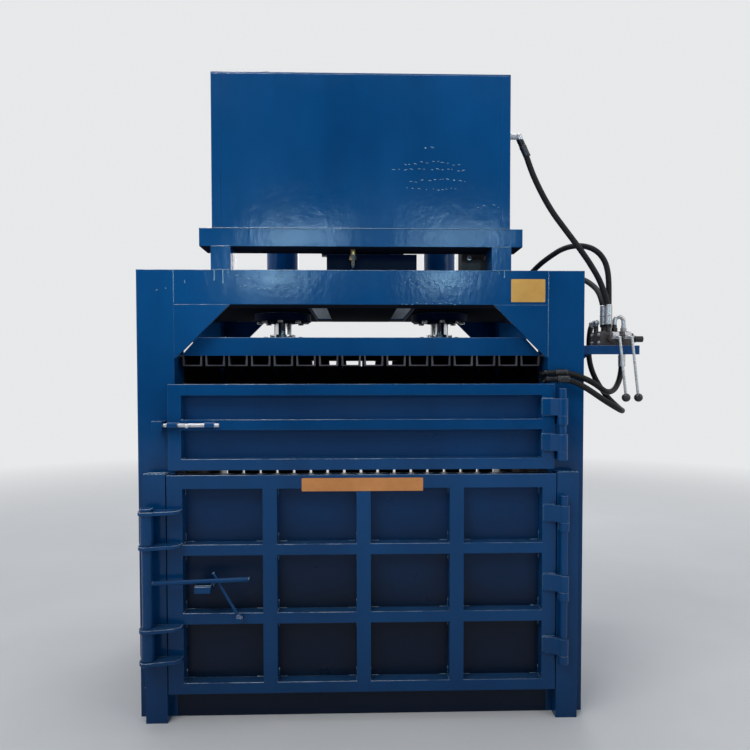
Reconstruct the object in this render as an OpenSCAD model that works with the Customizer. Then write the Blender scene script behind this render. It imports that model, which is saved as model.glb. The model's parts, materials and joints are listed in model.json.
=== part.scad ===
// Vertical recycling baler with two hydraulic cylinders, in millimetres.
// The origin is on the floor under the middle of the frame, +Z is up, the doors face -Y.

/* [Frame] */
// Width of the frame over both posts
frame_w = 1832; // [1700:4:2100]
// Depth of the frame from front to rear
frame_d = 1060; // [960:4:1300]
// Height of the corner posts
frame_top = 1837; // [1780:1:2000]
// Width and depth of a corner post
post_w = 150; // [130:2:170]
// Wall of the box sections
tube_wall = 8; // [5:0.5:12]
// Height of the top beams
beam_h = 140; // [120:2:160]
// Height of the sill beams
sill_h = 108; // [90:2:130]
// Depth of a sill beam from front to rear
sill_d = 90; // [60:2:120]
// Length of a gusset along the beam
gusset_x = 226; // [180:2:260]
// Height of a gusset along the post
gusset_z = 218; // [150:2:220]
// Thickness of a gusset plate
gusset_t = 12; // [8:1:16]
// How much less high the rear beam is than the front one
rear_lift = 19; // [0:1:22]
// Width of the centre tie box
tie_w = 308; // [260:4:340]
// Open slot between the centre tie and a deck plate
deck_slot = 82; // [60:2:100]
// Thickness of a deck plate
deck_t = 25; // [20:1:30]
// Height of the deck underside over the beam underside
deck_lift = 6; // [2:1:12]

/* [Chamber] */
// Thickness of the side wall sheets
wall_t = 6; // [4:0.5:10]
// Top of the side and rear walls
wall_top = 1462; // [1400:2:1480]
// Depth of the stiffening ribs on a side wall
rib_d = 60; // [40:2:80]
// Height of a stiffening rib
rib_h = 50; // [30:2:70]
// Ribs on each side wall
rib_count = 5; // [3:1:7]
// Distance between the strap slots
channel_pitch = 94; // [90:1:96]
// Number of channels across the chamber
channel_count = 16; // [10:1:16]
// Width of a rolled channel
channel_w = 80; // [70:1:84]
// Height of a rolled channel
channel_h = 43; // [36:1:50]
// Web thickness of a rolled channel
channel_web = 5; // [4:0.5:7]
// Flange thickness of a rolled channel at its tip
channel_tip = 6; // [5:0.5:8]
// Extra flange thickness at the root of a rolled channel
channel_taper = 3; // [1:0.5:4]
// Thickness of the floor sheet
floor_t = 6; // [4:1:10]
// Depth of the rails behind the rear wall
rail_d = 40; // [30:2:50]
// Height of the rails behind the rear wall
rail_h = 60; // [40:2:80]
// Height of the rear wall's top rail
top_rail_h = 126; // [100:2:140]

/* [Platen] */
// Height of the platen underside at rest
platen_z = 1447; // [1440:1:1455]
// Gap between the platen and each side of the chamber
platen_side_gap = 15; // [5:1:16]
// Distance of the platen behind the front of the posts
platen_front_gap = 50; // [30:2:60]
// Gap between the platen and the rear wall
platen_rear_gap = 10; // [6:1:20]
// Height of the platen beams
platen_beam_h = 76; // [60:1:76]
// Width of a platen beam seen from above
platen_beam_w = 70; // [50:2:90]
// Length of the mitred ends of the platen beams
platen_mitre = 70; // [50:2:90]
// Thickness of the platen sheet over the channels
platen_sheet = 8; // [5:1:12]

/* [Cylinders] */
// Distance of each cylinder from the centre
cyl_x = 380; // [360:2:400]
// Middle of the cylinders from front to rear
cyl_y = -20; // [-40:2:20]
// Outside diameter of a barrel
barrel_d = 152; // [145:1:165]
// Inside diameter of a barrel
bore_d = 125; // [115:1:130]
// Length of a barrel over the deck
barrel_l = 960; // [940:5:1000]
// Diameter of a ram rod
rod_d = 85; // [70:1:95]
// Length of a piston
piston_l = 48; // [30:2:50]
// Distance of the piston under the barrel cap at rest
piston_gap = 20; // [15:1:30]
// Thickness of the barrel cap
cap_t = 35; // [25:1:45]
// Diameter of a gland flange
gland_d = 270; // [250:2:280]
// Thickness of a gland flange under the deck
gland_t = 35; // [25:1:40]
// Diameter of the bolt circle on a gland
bolt_circle = 224; // [216:2:230]
// Bolts in one gland
bolt_count = 8; // [6:1:10]
// Diameter of a gland bolt
bolt_d = 16; // [12:1:18]
// Diameter of a ram foot
foot_d = 210; // [180:2:240]
// Thickness of a ram foot
foot_t = 38; // [30:1:40]
// Running clearance on a radius
fit = 0.05; // [0.03:0.01:0.1]

/* [Doors] */
// Width of the upper door
upper_w = 1556; // [1540:2:1560]
// Height of the upper door
upper_h = 345; // [330:1:350]
// Width of the lower door
lower_w = 1572; // [1560:2:1574]
// Height of the lower door
lower_h = 888; // [880:1:892]
// Gap between the doors
door_gap = 20; // [16:1:24]
// Gap under the lower door over the sill
door_lift = 12; // [8:1:16]
// Depth of the door bars
door_bar_d = 54; // [40:1:60]
// Thickness of the door skins
skin_t = 4; // [3:0.5:6]
// Gap between the doors and the posts
door_clear = 2; // [1:0.5:4]
// Width of an upright bar in the lower door
upright_w = 57; // [50:1:64]
// Width of the outer bars of the doors
stile_w = 52; // [46:1:60]
// Height of the door rails
rail_face = 45; // [40:1:50]
// Height of the top rail of the lower door
top_rail_face = 55; // [50:1:60]
// Wall of the door bars
bar_wall = 4; // [3:0.5:6]
// Columns of panels in the lower door
lower_cols = 4; // [3:1:5]
// Width of a door jamb
jamb_w = 87; // [80:1:100]
// Gap between a jamb and the lower door
jamb_gap = 5; // [4:0.5:8]

/* [Hinges] */
// Diameter of the hinge pins
pin_d = 30; // [26:1:32]
// Outside diameter of the hinge barrels
knuckle_d = 42; // [40:1:44]
// Height of a hinge leaf
leaf_h = 68; // [60:1:74]
// Thickness of a hinge leaf
leaf_t = 10; // [8:1:12]
// Height of a post lug
lug_h = 36; // [30:1:40]
// Gap between a leaf and its lug
knuckle_gap = 0.5; // [0.3:0.1:2]
// Distance of the hinge pins in front of the doors
pin_out = 24; // [23:1:30]
// Distance of the upper pin beside its door
upper_pin_x = 24; // [23:1:30]

/* [Locks] */
// Diameter of the lock shaft
shaft_d = 42; // [36:1:44]
// Distance of the lock shaft in front of the door
shaft_out = 42; // [40:1:50]
// Distance of the lock shaft beside the door edge
shaft_side = 66; // [60:1:70]
// Thickness of a lock ear
ear_t = 14; // [10:1:18]
// Reach of the lock cams from the shaft middle
cam_r = 41; // [36:0.5:42]
// Length of the lock lever from the shaft middle
lever_l = 401; // [300:1:420]
// Diameter of the lock lever
lever_d = 18; // [14:1:22]
// Height of the lock lever over the floor
lever_z = 585; // [575:1:592]
// Rise of the lock lever along its length
lever_rise = 15; // [5:1:25]
// Diameter of the safety stay
stay_d = 12; // [8:1:14]
// Diameter of the door bolt
bolt_rod_d = 16; // [12:1:20]
// Length of the door bolt
bolt_rod_l = 218; // [180:2:240]

/* [Tank] */
// Width of the oil tank
tank_w = 1214; // [1150:2:1260]
// Depth of the oil tank
tank_d = 155; // [140:1:170]
// Height of the oil tank
tank_h = 624; // [560:2:660]
// Sheet of the oil tank
tank_t = 5; // [3:0.5:8]
// Overhang of the shelf beam beside the tank
shelf_over = 52; // [40:1:60]
// Height of the shelf beam
shelf_h = 73; // [60:1:80]
// Height of the shelf posts
shelf_post_h = 95; // [90:1:120]
// Width of a shelf post
shelf_post_w = 80; // [60:2:100]
// Depth of a shelf post
shelf_post_d = 130; // [100:2:150]

/* [Motor] */
// Height of the motor stand
stand_h = 92; // [80:1:110]
// Width of the motor stand
stand_w = 388; // [360:2:400]
// Diameter of the motor body
motor_d = 200; // [180:2:210]
// Length of the motor body
motor_l = 300; // [260:5:310]
// Cooling fins around the motor
fin_count = 28; // [20:2:36]
// Diameter of the motor shaft
motor_shaft_d = 38; // [32:1:42]

/* [Valve] */
// Reach of the valve bracket beside the post
bracket_l = 246; // [240:2:320]
// Depth of the valve bracket
bracket_d = 110; // [100:2:120]
// Height of the valve bracket top over the floor
bracket_z = 1532; // [1520:1:1545]
// Height of the bracket's front flange
bracket_h = 37; // [30:1:45]
// Thickness of the valve bracket
bracket_t = 8; // [6:1:10]
// Height of the valve body
valve_h = 60; // [50:1:70]
// Length of a hand lever
hand_l = 262; // [200:2:270]
// Diameter of a hand lever
hand_d = 11; // [9:0.5:14]
// Diameter of a ball knob
knob_d = 32; // [26:1:36]
// Outside diameter of the hoses
hose_d = 24; // [20:1:26]

/* [Hidden] */
$fn = 48;

paint = "#14467a";
paint_dark = "#0f3a68";
primer = "#6d7a86";
steel = "#b8bcc0";
black = "#1c1d1f";

front_y = -frame_d / 2;
rear_y = frame_d / 2;
half_w = frame_w / 2;
chamber_x = half_w - post_w;
beam_z = frame_top - beam_h;
deck_z = beam_z + deck_lift;
post_gap = frame_d - 2 * post_w;
span_l = (channel_count - 1) * channel_pitch + channel_w;

// Doors, from the posts forwards
skin_y = front_y - door_clear - skin_t;
door_y = skin_y - door_bar_d;
lower_z = sill_h + door_lift;
lower_top = lower_z + lower_h;
upper_z = lower_top + door_gap;
upper_top = upper_z + upper_h;
jamb_in = lower_w / 2 + jamb_gap;
jamb_y = door_y + 2;
jamb_top = lower_top + 5;
pin_y = door_y - pin_out;
lower_pin = [lower_w / 2 + 26, pin_y];
upper_pin = [upper_w / 2 + upper_pin_x, pin_y];
upper_leaves = [upper_z + 75, upper_z + 218];
lower_leaves = [lower_z + 153, lower_z + 412, lower_z + 695];

// Platen, from the rest height upwards
platen_y0 = front_y + platen_front_gap;
rear_web_y = rear_y - rail_d - channel_h;
platen_y1 = rear_web_y - platen_rear_gap;
sheet_z = platen_z + channel_h;
platen_top = sheet_z + platen_beam_h;
platen_half = chamber_x - platen_side_gap;

// Cylinders
barrel_z = deck_z + deck_t;
barrel_top = barrel_z + barrel_l;
gland_z = deck_z - gland_t;
piston_top = barrel_top - cap_t - piston_gap;
lower_port_z = barrel_z + 60;
upper_port_z = barrel_top - cap_t - 15;
lower_link_z = frame_top + 28;

// Tank and shelf
shelf_z = frame_top + shelf_post_h;
tank_z = shelf_z + shelf_h;
tank_top = tank_z + tank_h;
tank_x = -2;
return_z = tank_z + 395;
return_y = front_y + 55;
shelf_post_x = tank_w / 2 - 34;
filler_at = [250, front_y + 85];
filler_d = 40;
lug_at = [-395, front_y + 60];
drain_at = [-38, front_y + 62];

// Motor unit
stand_x = 42;
stand_z = frame_top + stand_h;
motor_y = front_y + tank_d + 150;
motor_x = -110;
motor_z = stand_z + 125;
bell_l = 90;
pump_x = motor_x + motor_l + 12 + bell_l;
pump_port = [pump_x + 57, motor_y - 58, motor_z - 12];
block_w = 140;
block_d = 90;
block_at = [432, -post_gap / 2 + 14, frame_top + 118];

// Valve group
valve_y = front_y + 40;
valve_x = half_w + 84;
lever_x = [half_w + 131, half_w + 182];
lever_hub = [valve_y - 32, bracket_z + 40];
hub_pin_d = 10;
gusset_step = 6;
port_z = bracket_z + valve_h;
arch_x = [lever_x[0] + 26, lever_x[1] + 14];
arch_y = valve_y + 38;
arch_d = 18;

// Lock parts
shaft_x = -lower_w / 2 - shaft_side;
shaft_y = door_y - shaft_out;
ear_tops = [874, 738, 408, 279];
rest_x = -664;
rest_w = 62;
sleeves = [[-786, 54], [-638, 49]];
bolt_grip_x = -690;
stay_y = door_y - 18;
stay_foot = [-495, 434];
stay_head = [-600, 620];
bolt_z = upper_z + 182;
bolt_y = door_y - 18;
keeper_x = -811;
keeper_l = 40;
bolt_tip = keeper_x + keeper_l / 2 + 2;

// Both ends of each hose
rear_port = [cyl_x + 260, cyl_y - 120, lower_port_z - 2];
side_port = [cyl_x + 260, cyl_y + barrel_d / 2 + 44, frame_top + 31];
return_start = [tank_x + tank_w / 2 + 63, return_y, return_z - 38];
return_end = [half_w + 120, front_y + 55, port_z + 63];
rear_end = [half_w + 150, front_y + 125, port_z + 63];
side_end = [half_w + 114, front_y + 90, port_z + 63];
feed_start = [half_w + 100, front_y + 152, port_z + 42];
feed_end = [chamber_x + 24, front_y - 45, upper_top + 18];
under_start = [chamber_x + 24, front_y - 17, upper_top + 44];
under_end = [half_w + 211, front_y + 130, bracket_z - 36];

// A line whose ends are moved to two given points, with the stops between them following.
function fitted(line, start, end) = let (last = len(line) - 1, a = start - line[0], b = end - line[last])
    [for (i = [0:last]) line[i] + a + (b - a) * i / last];

// Hose lines, chosen by hand
return_line = [[668, -475, 2362], [677, -475, 2342], [690, -475, 2306], [703, -475, 2270], [717, -475, 2236],
    [739, -475, 2190], [767, -475, 2138], [801, -475, 2084], [840, -475, 2032], [882, -475, 1978],
    [924, -475, 1923], [962, -475, 1868], [996, -475, 1810], [1022, -475, 1745], [1036, -475, 1690],
    [1036, -475, 1655]];
rear_line = [[640, -140, 1786], [655, -140, 1786], [673, -142, 1788], [698, -148, 1796], [721, -159, 1811],
    [745, -184, 1839], [771, -214, 1869], [812, -258, 1914], [864, -306, 1953], [895, -329, 1968],
    [926, -347, 1974], [963, -364, 1972], [999, -378, 1959], [1030, -387, 1934], [1051, -394, 1899],
    [1061, -399, 1860], [1065, -402, 1819], [1066, -404, 1760], [1066, -405, 1696], [1066, -405, 1655]];
side_line = [[640, 100, 1868], [662, 100, 1868], [690, 95, 1871], [719, 84, 1876], [753, 62, 1882],
    [785, 37, 1888], [843, -21, 1896], [898, -82, 1894], [924, -113, 1889], [948, -146, 1881],
    [969, -180, 1871], [987, -215, 1859], [1001, -250, 1845], [1013, -286, 1829], [1022, -321, 1809],
    [1028, -356, 1787], [1030, -388, 1762], [1030, -415, 1732], [1030, -433, 1700],
    [1030, -440, 1676], [1030, -440, 1655]];
feed_line = [[1016, -378, 1634], [1019, -356, 1634], [1024, -322, 1630], [1029, -290, 1616],
    [1036, -257, 1584], [1041, -239, 1541], [1042, -238, 1495], [1044, -254, 1451],
    [1050, -277, 1410], [1060, -302, 1373], [1074, -329, 1337], [1090, -358, 1304],
    [1104, -395, 1278], [1107, -438, 1262], [1097, -483, 1258], [1073, -523, 1263],
    [1039, -551, 1277], [1000, -565, 1298], [960, -571, 1323], [921, -575, 1348], [881, -576, 1371],
    [843, -575, 1386], [814, -575, 1391], [790, -575, 1391]];
under_line = [[790, -547, 1417], [826, -547, 1417], [863, -547, 1411], [897, -547, 1400], [931, -545, 1386],
    [962, -537, 1370], [991, -522, 1353], [1018, -502, 1340], [1046, -478, 1338], [1072, -454, 1346],
    [1094, -432, 1364], [1112, -414, 1391], [1123, -403, 1424], [1127, -400, 1460],
    [1127, -400, 1496]];
hose_sides = 10;
arch_sides = 20;
feed_port = feed_start - [3, 22, 0];
entry_x = chamber_x - 14;
entry_y = front_y + 25;

// General shapes

// A box from its lowest corner to its highest one.
module block(low, high) {
    translate(low) cube(high - low);
}

// A square tube along Z with its lowest corner at the origin.
module box_tube(w, d, l, t) {
    difference() {
        cube([w, d, l]);
        translate([t, t, -1]) cube([w - 2 * t, d - 2 * t, l + 2]);
    }
}

// The end outline of a rolled channel, web down, middle at x 0.
module channel_outline() {
    half = channel_w / 2;
    root = channel_tip + channel_taper;
    polygon([[-half, 0], [half, 0], [half, channel_h], [half - channel_tip, channel_h],
        [half - root, channel_web], [-half + root, channel_web], [-half + channel_tip, channel_h],
        [-half, channel_h]]);
}

// One x for each channel across the chamber.
function channel_xs() = [for (i = [0:channel_count - 1]) (i - (channel_count - 1) / 2) * channel_pitch];

// A channel lying from front to rear with its web down.
module floor_channel(length) {
    translate([0, length, 0]) rotate([90, 0, 0]) linear_extrude(length) channel_outline();
}

// A cylinder along X from the given point.
module bar_x(at, length, d) {
    translate(at) rotate([0, 90, 0]) cylinder(h = length, d = d);
}

// A cylinder along Y from the given point.
module bar_y(at, length, d) {
    translate(at) rotate([-90, 0, 0]) cylinder(h = length, d = d);
}

// An outline raised from z by h.
module raise(z, h) {
    translate([0, 0, z]) linear_extrude(h) children();
}

// A hexagonal nut along Z.
module nut(at, across, h) {
    translate(at) cylinder(h = h, d = across * 1.155, $fn = 6);
}

// A round rod from one point to another.
module rod(a, b, d) {
    v = b - a;
    l = norm(v);
    tilt = acos(v[2] / l);
    turn = atan2(v[1], v[0]);
    translate(a) rotate([0, tilt, turn]) cylinder(h = l, d = d);
}

// Frame

module post(sx, sy) {
    x0 = sx > 0 ? chamber_x : -half_w;
    y0 = sy > 0 ? rear_y - post_w : front_y;
    color(paint) difference() {
        translate([x0, y0, 0]) cube([post_w, post_w, frame_top]);
        translate([x0 + tube_wall, y0 + tube_wall, -1])
            cube([post_w - 2 * tube_wall, post_w - 2 * tube_wall, frame_top - tube_wall + 1]);
    }
}

module front_left_post() {
    post(-1, -1);
}

module front_right_post() {
    post(1, -1);
}

module rear_left_post() {
    post(-1, 1);
}

module rear_right_post() {
    post(1, 1);
}

module cross_beam(y0, lift) {
    color(paint) translate([-chamber_x, y0, beam_z + lift]) rotate([90, 0, 90])
        box_tube(post_w, beam_h - lift, 2 * chamber_x, tube_wall);
}

module front_top_beam() {
    cross_beam(front_y, 0);
}

module rear_top_beam() {
    cross_beam(rear_y - post_w, rear_lift);
}

module side_top_beams() {
    for (x0 = [-half_w, chamber_x])
        color(paint) translate([x0, post_gap / 2, beam_z]) rotate([90, 0, 0])
            box_tube(post_w, beam_h, post_gap, tube_wall);
}

module corner_gussets() {
    for (side = [-1, 1], rear = [0, 1]) {
        y1 = rear == 1 ? rear_y : front_y + gusset_t;
        z1 = beam_z + rear * rear_lift;
        color(paint) translate([0, y1, 0]) rotate([90, 0, 0]) linear_extrude(gusset_t)
            polygon([[side * chamber_x, z1], [side * (chamber_x - gusset_x), z1],
                [side * (chamber_x - gusset_step), z1 - gusset_z], [side * chamber_x, z1 - gusset_z]]);
    }
}

module centre_tie() {
    color(paint_dark) translate([-tie_w / 2, post_gap / 2, deck_z]) rotate([90, 0, 0])
        box_tube(tie_w, frame_top - deck_z, post_gap, tube_wall);
}

module deck_plates() {
    x0 = tie_w / 2 + deck_slot;
    for (side = [-1, 1])
        color(paint_dark) difference() {
            translate([side > 0 ? x0 : -chamber_x, -post_gap / 2, deck_z])
                cube([chamber_x - x0, post_gap, deck_t]);
            translate([side * cyl_x, cyl_y, deck_z - 1]) cylinder(h = deck_t + 2, d = rod_d + 30);
        }
}

module sill_beams() {
    for (y0 = [front_y, rear_y - sill_d])
        color(paint_dark) translate([-chamber_x, y0, 0]) rotate([90, 0, 90])
            box_tube(sill_d, sill_h, 2 * chamber_x, tube_wall);
    for (x0 = [-half_w, chamber_x])
        color(paint_dark) translate([x0, post_gap / 2, 0]) rotate([90, 0, 0])
            box_tube(post_w, sill_h, post_gap, tube_wall);
    color(paint_dark) translate([-sill_d / 2, frame_d / 2 - sill_d, 0]) rotate([90, 0, 0])
        box_tube(sill_d, sill_h, frame_d - 2 * sill_d, tube_wall);
}

// Floor sheet under channels, whose gaps let the straps through.
module floor_grid() {
    y0 = front_y + 10;
    y1 = rear_web_y;
    color(paint_dark) union() {
        block([-chamber_x, y0, sill_h], [chamber_x, y1, sill_h + floor_t]);
        for (x = channel_xs())
            translate([x, y0, sill_h + floor_t + channel_h]) mirror([0, 0, 1]) floor_channel(y1 - y0);
    }
}

module side_wall(side) {
    y0 = -post_gap / 2;
    z0 = sill_h;
    rib_step = (wall_top - z0 - rib_h) / (rib_count - 1);
    color(paint) mirror([side < 0 ? 1 : 0, 0, 0]) union() {
        block([chamber_x, y0, z0], [chamber_x + wall_t, -y0, wall_top]);
        for (i = [0:rib_count - 1])
            block([chamber_x + wall_t, y0, z0 + i * rib_step],
                [chamber_x + wall_t + rib_d, -y0, z0 + i * rib_step + rib_h]);
    }
}

module left_side_wall() {
    side_wall(-1);
}

module right_side_wall() {
    side_wall(1);
}

module rear_wall() {
    z0 = sill_h + floor_t;
    color(paint_dark) union() {
        for (x = channel_xs())
            translate([x, rear_web_y, z0]) linear_extrude(wall_top - z0) channel_outline();
        for (z = [z0 + 20, (z0 + wall_top) / 2 - rail_h / 2])
            block([-chamber_x, rear_y - rail_d, z], [chamber_x, rear_y, z + rail_h]);
        block([-chamber_x, rear_y - rail_d, wall_top - top_rail_h], [chamber_x, rear_y, wall_top]);
    }
}

module door_jambs() {
    for (side = [-1, 1])
        color(paint) translate([side > 0 ? jamb_in : -jamb_in - jamb_w, jamb_y, 0])
            box_tube(jamb_w, front_y - jamb_y, jamb_top, bar_wall);
}

// Oil tank on its shelf

module shelf_beam() {
    l = tank_w + 2 * shelf_over;
    color(paint) translate([tank_x - l / 2, front_y, shelf_z]) rotate([90, 0, 90])
        box_tube(tank_d, shelf_h, l, tank_t);
}

module shelf_posts() {
    for (side = [-1, 1])
        color(paint) translate([tank_x + side * shelf_post_x - shelf_post_w / 2, front_y, frame_top])
            box_tube(shelf_post_w, shelf_post_d, shelf_post_h, tank_t);
}

module tank_shell() {
    color(paint) difference() {
        translate([tank_x - tank_w / 2, front_y, tank_z]) cube([tank_w, tank_d, tank_h - tank_t]);
        translate([tank_x - tank_w / 2 + tank_t, front_y + tank_t, tank_z + tank_t])
            cube([tank_w - 2 * tank_t, tank_d - 2 * tank_t, tank_h]);
        bar_x([tank_x + tank_w / 2 - 2 * tank_t, return_y, return_z], 4 * tank_t, 26);
    }
}

module tank_lid() {
    color(paint) difference() {
        union() {
            block([tank_x - tank_w / 2, front_y, tank_top - tank_t],
                [tank_x + tank_w / 2, front_y + tank_d, tank_top]);
            translate([lug_at[0], lug_at[1], tank_top]) rotate([90, 0, 0]) linear_extrude(12)
                polygon([[-31, 0], [31, 0], [13, 24], [-13, 24]]);
        }
        bar_y([lug_at[0], lug_at[1] - 20, tank_top + 11], 30, 12);
        translate([filler_at[0], filler_at[1], tank_top - 2 * tank_t])
            cylinder(h = 4 * tank_t, d = filler_d);
    }
}

module filler_cap() {
    color(black) translate([filler_at[0], filler_at[1], 0]) union() {
        translate([0, 0, tank_top - tank_t - 6]) cylinder(h = tank_t + 6.4, d = filler_d - 2 * fit);
        translate([0, 0, tank_top + 0.4]) cylinder(h = 18, d = 64);
        for (a = [0:30:330])
            rotate([0, 0, a]) translate([31, 0, tank_top + 0.4]) cylinder(h = 18, d = 6);
    }
}

// Return elbow on the right side and suction outlet at the rear.
module tank_fittings() {
    x0 = tank_x + tank_w / 2;
    elbow = [return_start[0] - 17, return_y, return_z];
    color(steel) union() {
        bar_x([x0 - tank_t, return_y, return_z], tank_t, 26);
        bar_x([x0, return_y, return_z], elbow[0] - x0, 24);
        bar_x([x0, return_y, return_z], 12, 38);
        translate(elbow) sphere(d = 30);
        rod(elbow, return_start, 28);
    }
    color(steel) union() {
        bar_y([pump_port[0], front_y + tank_d, pump_port[2]], 22, 44);
        bar_y([pump_port[0], front_y + tank_d, pump_port[2]], pump_port[1] - front_y - tank_d, 34);
    }
}

module drain_cock() {
    color("#9a8a5a") translate([drain_at[0], drain_at[1], shelf_z]) union() {
        translate([0, 0, -26]) cylinder(h = 26, d = 22);
        nut([0, 0, -44], 26, 18);
        translate([0, 0, -66]) cylinder(h = 22, d = 14);
        bar_y([0, -24, -35], 24, 14);
    }
}

module cock_handle() {
    color("#b03a2e") translate([drain_at[0], drain_at[1] - 32, shelf_z]) union() {
        bar_y([0, 0, -35], 7.7, 18);
        block([-4, 0, -80], [4, 5, -35]);
    }
}

// Cylinders

module barrel(side) {
    color(paint) difference() {
        union() {
            translate([side * cyl_x, cyl_y, barrel_z]) cylinder(h = barrel_l, d = barrel_d, $fn = 64);
            translate([side * cyl_x, cyl_y, barrel_z]) cylinder(h = 22, d = barrel_d + 40, $fn = 64);
            bar_y([side * cyl_x, cyl_y + barrel_d / 2 - 6, lower_port_z], 22, 36);
            bar_y([side * cyl_x, cyl_y + barrel_d / 2 - 6, upper_port_z], 22, 36);
            translate([side * cyl_x, cyl_y, barrel_top - cap_t])
                cylinder(h = cap_t, d = barrel_d + 14, $fn = 64);
        }
        translate([side * cyl_x, cyl_y, barrel_z - 1])
            cylinder(h = barrel_l - cap_t + 1, d = bore_d, $fn = 64);
    }
}

module left_barrel() {
    barrel(-1);
}

module right_barrel() {
    barrel(1);
}

module cylinder_glands() {
    for (side = [-1, 1])
        color(paint_dark) difference() {
            union() {
                translate([side * cyl_x, cyl_y, gland_z]) cylinder(h = gland_t, d = gland_d, $fn = 64);
                translate([side * cyl_x, cyl_y, gland_z - 8]) cylinder(h = 8, d = rod_d + 44, $fn = 64);
                translate([side * cyl_x, cyl_y, deck_z])
                    cylinder(h = deck_t, d = rod_d + 30 - 2 * fit, $fn = 64);
            }
            translate([side * cyl_x, cyl_y, gland_z - 20])
                cylinder(h = gland_t + deck_t + 40, d = rod_d + 2 * fit, $fn = 64);
        }
}

module flange_bolts() {
    for (side = [-1, 1], i = [0:bolt_count - 1])
        color(black) translate([side * cyl_x, cyl_y, 0]) rotate([0, 0, i * 360 / bolt_count])
            nut([bolt_circle / 2, 0, gland_z - bolt_d * 0.65], bolt_d * 1.5, bolt_d * 0.65);
}

// Steel tubes that join the two lower and the two upper ports.
module link_pipes() {
    pump_pipe();
    y1 = cyl_y + barrel_d / 2 + 40;
    color(steel) union() {
        for (z = [lower_port_z, upper_port_z], side = [-1, 1]) {
            bar_y([side * cyl_x, cyl_y + barrel_d / 2 + 16, z], 24, 26);
            translate([side * cyl_x, y1, z]) sphere(d = 26);
        }
        bar_x([-cyl_x, y1, upper_port_z], 2 * cyl_x, 22);
        for (side = [-1, 1]) {
            translate([side * cyl_x, y1, lower_port_z]) cylinder(h = lower_link_z - lower_port_z, d = 22);
            translate([side * cyl_x, y1, lower_link_z]) sphere(d = 26);
        }
        bar_x([-cyl_x, y1, lower_link_z], 2 * cyl_x, 22);
        bar_x([cyl_x, y1, lower_port_z], 130, 22);
        translate([cyl_x + 130, y1, lower_port_z]) sphere(d = 26);
        rod([cyl_x + 130, y1, lower_port_z], [cyl_x + 130, rear_port[1], rear_port[2]], 22);
        translate([cyl_x + 130, rear_port[1], rear_port[2]]) sphere(d = 26);
        bar_x([cyl_x + 130, rear_port[1], rear_port[2]], 100, 22);
        bar_x(rear_port - [34, 0, 0], 34, 32);
        bar_x([cyl_x, y1, upper_port_z], 190, 22);
        translate([cyl_x + 190, y1, upper_port_z]) sphere(d = 26);
        rod([cyl_x + 190, y1, upper_port_z], [cyl_x + 190, side_port[1], side_port[2]], 22);
        translate([cyl_x + 190, side_port[1], side_port[2]]) sphere(d = 26);
        bar_x([cyl_x + 190, side_port[1], side_port[2]], 40, 22);
        bar_x(side_port - [34, 0, 0], 34, 32);
    }
}

// Motor and pump

module motor_stand() {
    y0 = -post_gap / 2;
    d = 300;
    color(paint) difference() {
        translate([stand_x - stand_w / 2, y0, frame_top]) cube([stand_w, d, stand_h]);
        translate([stand_x - stand_w / 2 + 6, y0 + 6, frame_top - 1]) cube([stand_w - 12, d, stand_h - 7]);
    }
}

module motor_body() {
    l = motor_l;
    color(paint) union() {
        bar_x([motor_x, motor_y, motor_z], l, motor_d);
        bar_x([motor_x, motor_y, motor_z], 12, motor_d + 16);
        for (i = [0:fin_count - 1])
            translate([motor_x + 12, motor_y, motor_z]) rotate([i * 360 / fin_count, 0, 0])
                translate([0, -2, motor_d / 2 - 2]) cube([l - 24, 4, 14]);
        for (x = [motor_x + 30, motor_x + l - 80])
            block([x, motor_y - 105, stand_z], [x + 50, motor_y + 105, motor_z - motor_d / 2 + 24]);
        block([motor_x + 90, motor_y - 55, motor_z + motor_d / 2 - 14],
            [motor_x + 210, motor_y + 55, motor_z + motor_d / 2 + 52]);
        bar_x([motor_x + l, motor_y, motor_z], 12, motor_d * 0.6);
    }
}

module fan_cover() {
    l = 70;
    color(black) difference() {
        bar_x([motor_x - l, motor_y, motor_z], l, motor_d + 16);
        bar_x([motor_x - l + 3, motor_y, motor_z], l, motor_d + 10);
        for (r = [24, 46, 68], i = [0:11])
            translate([motor_x - l - 1, motor_y, motor_z]) rotate([i * 30, 0, 0])
                translate([0, 0, r]) rotate([0, 90, 0]) cylinder(h = 6, d = 9);
    }
}

// Shaft with the coupling half that drives the pump, and the fan at its other end.
module motor_shaft() {
    x1 = motor_x + motor_l + 12;
    color(steel) union() {
        bar_x([x1 + 0.3, motor_y, motor_z], 50, motor_shaft_d);
        difference() {
            bar_x([x1 + 30, motor_y, motor_z], 36, 76);
            for (i = [0:3])
                translate([x1 + 52, motor_y, motor_z]) rotate([45 + i * 90, 0, 0])
                    translate([0, -7, 16]) cube([20, 14, 30]);
        }
    }
    color(black) union() {
        bar_x([motor_x - 50, motor_y, motor_z], 50 - 0.3, 40);
        for (i = [0:6])
            translate([motor_x - 42, motor_y, motor_z]) rotate([i * 360 / 7, 0, 0])
                translate([0, -3, 15]) cube([30, 6, 68]);
    }
}

module bell_housing() {
    x0 = motor_x + motor_l + 12;
    color(paint_dark) difference() {
        bar_x([x0, motor_y, motor_z], bell_l, motor_d * 0.75);
        bar_x([x0 - 1, motor_y, motor_z], bell_l - 9, motor_d * 0.75 - 16);
        bar_x([x0 + 10, motor_y, motor_z], bell_l, 40);
        for (side = [-1, 1])
            translate([x0 + 22, motor_y + side * 60 - 25, motor_z - 22]) cube([40, 50, 44]);
    }
}

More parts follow.
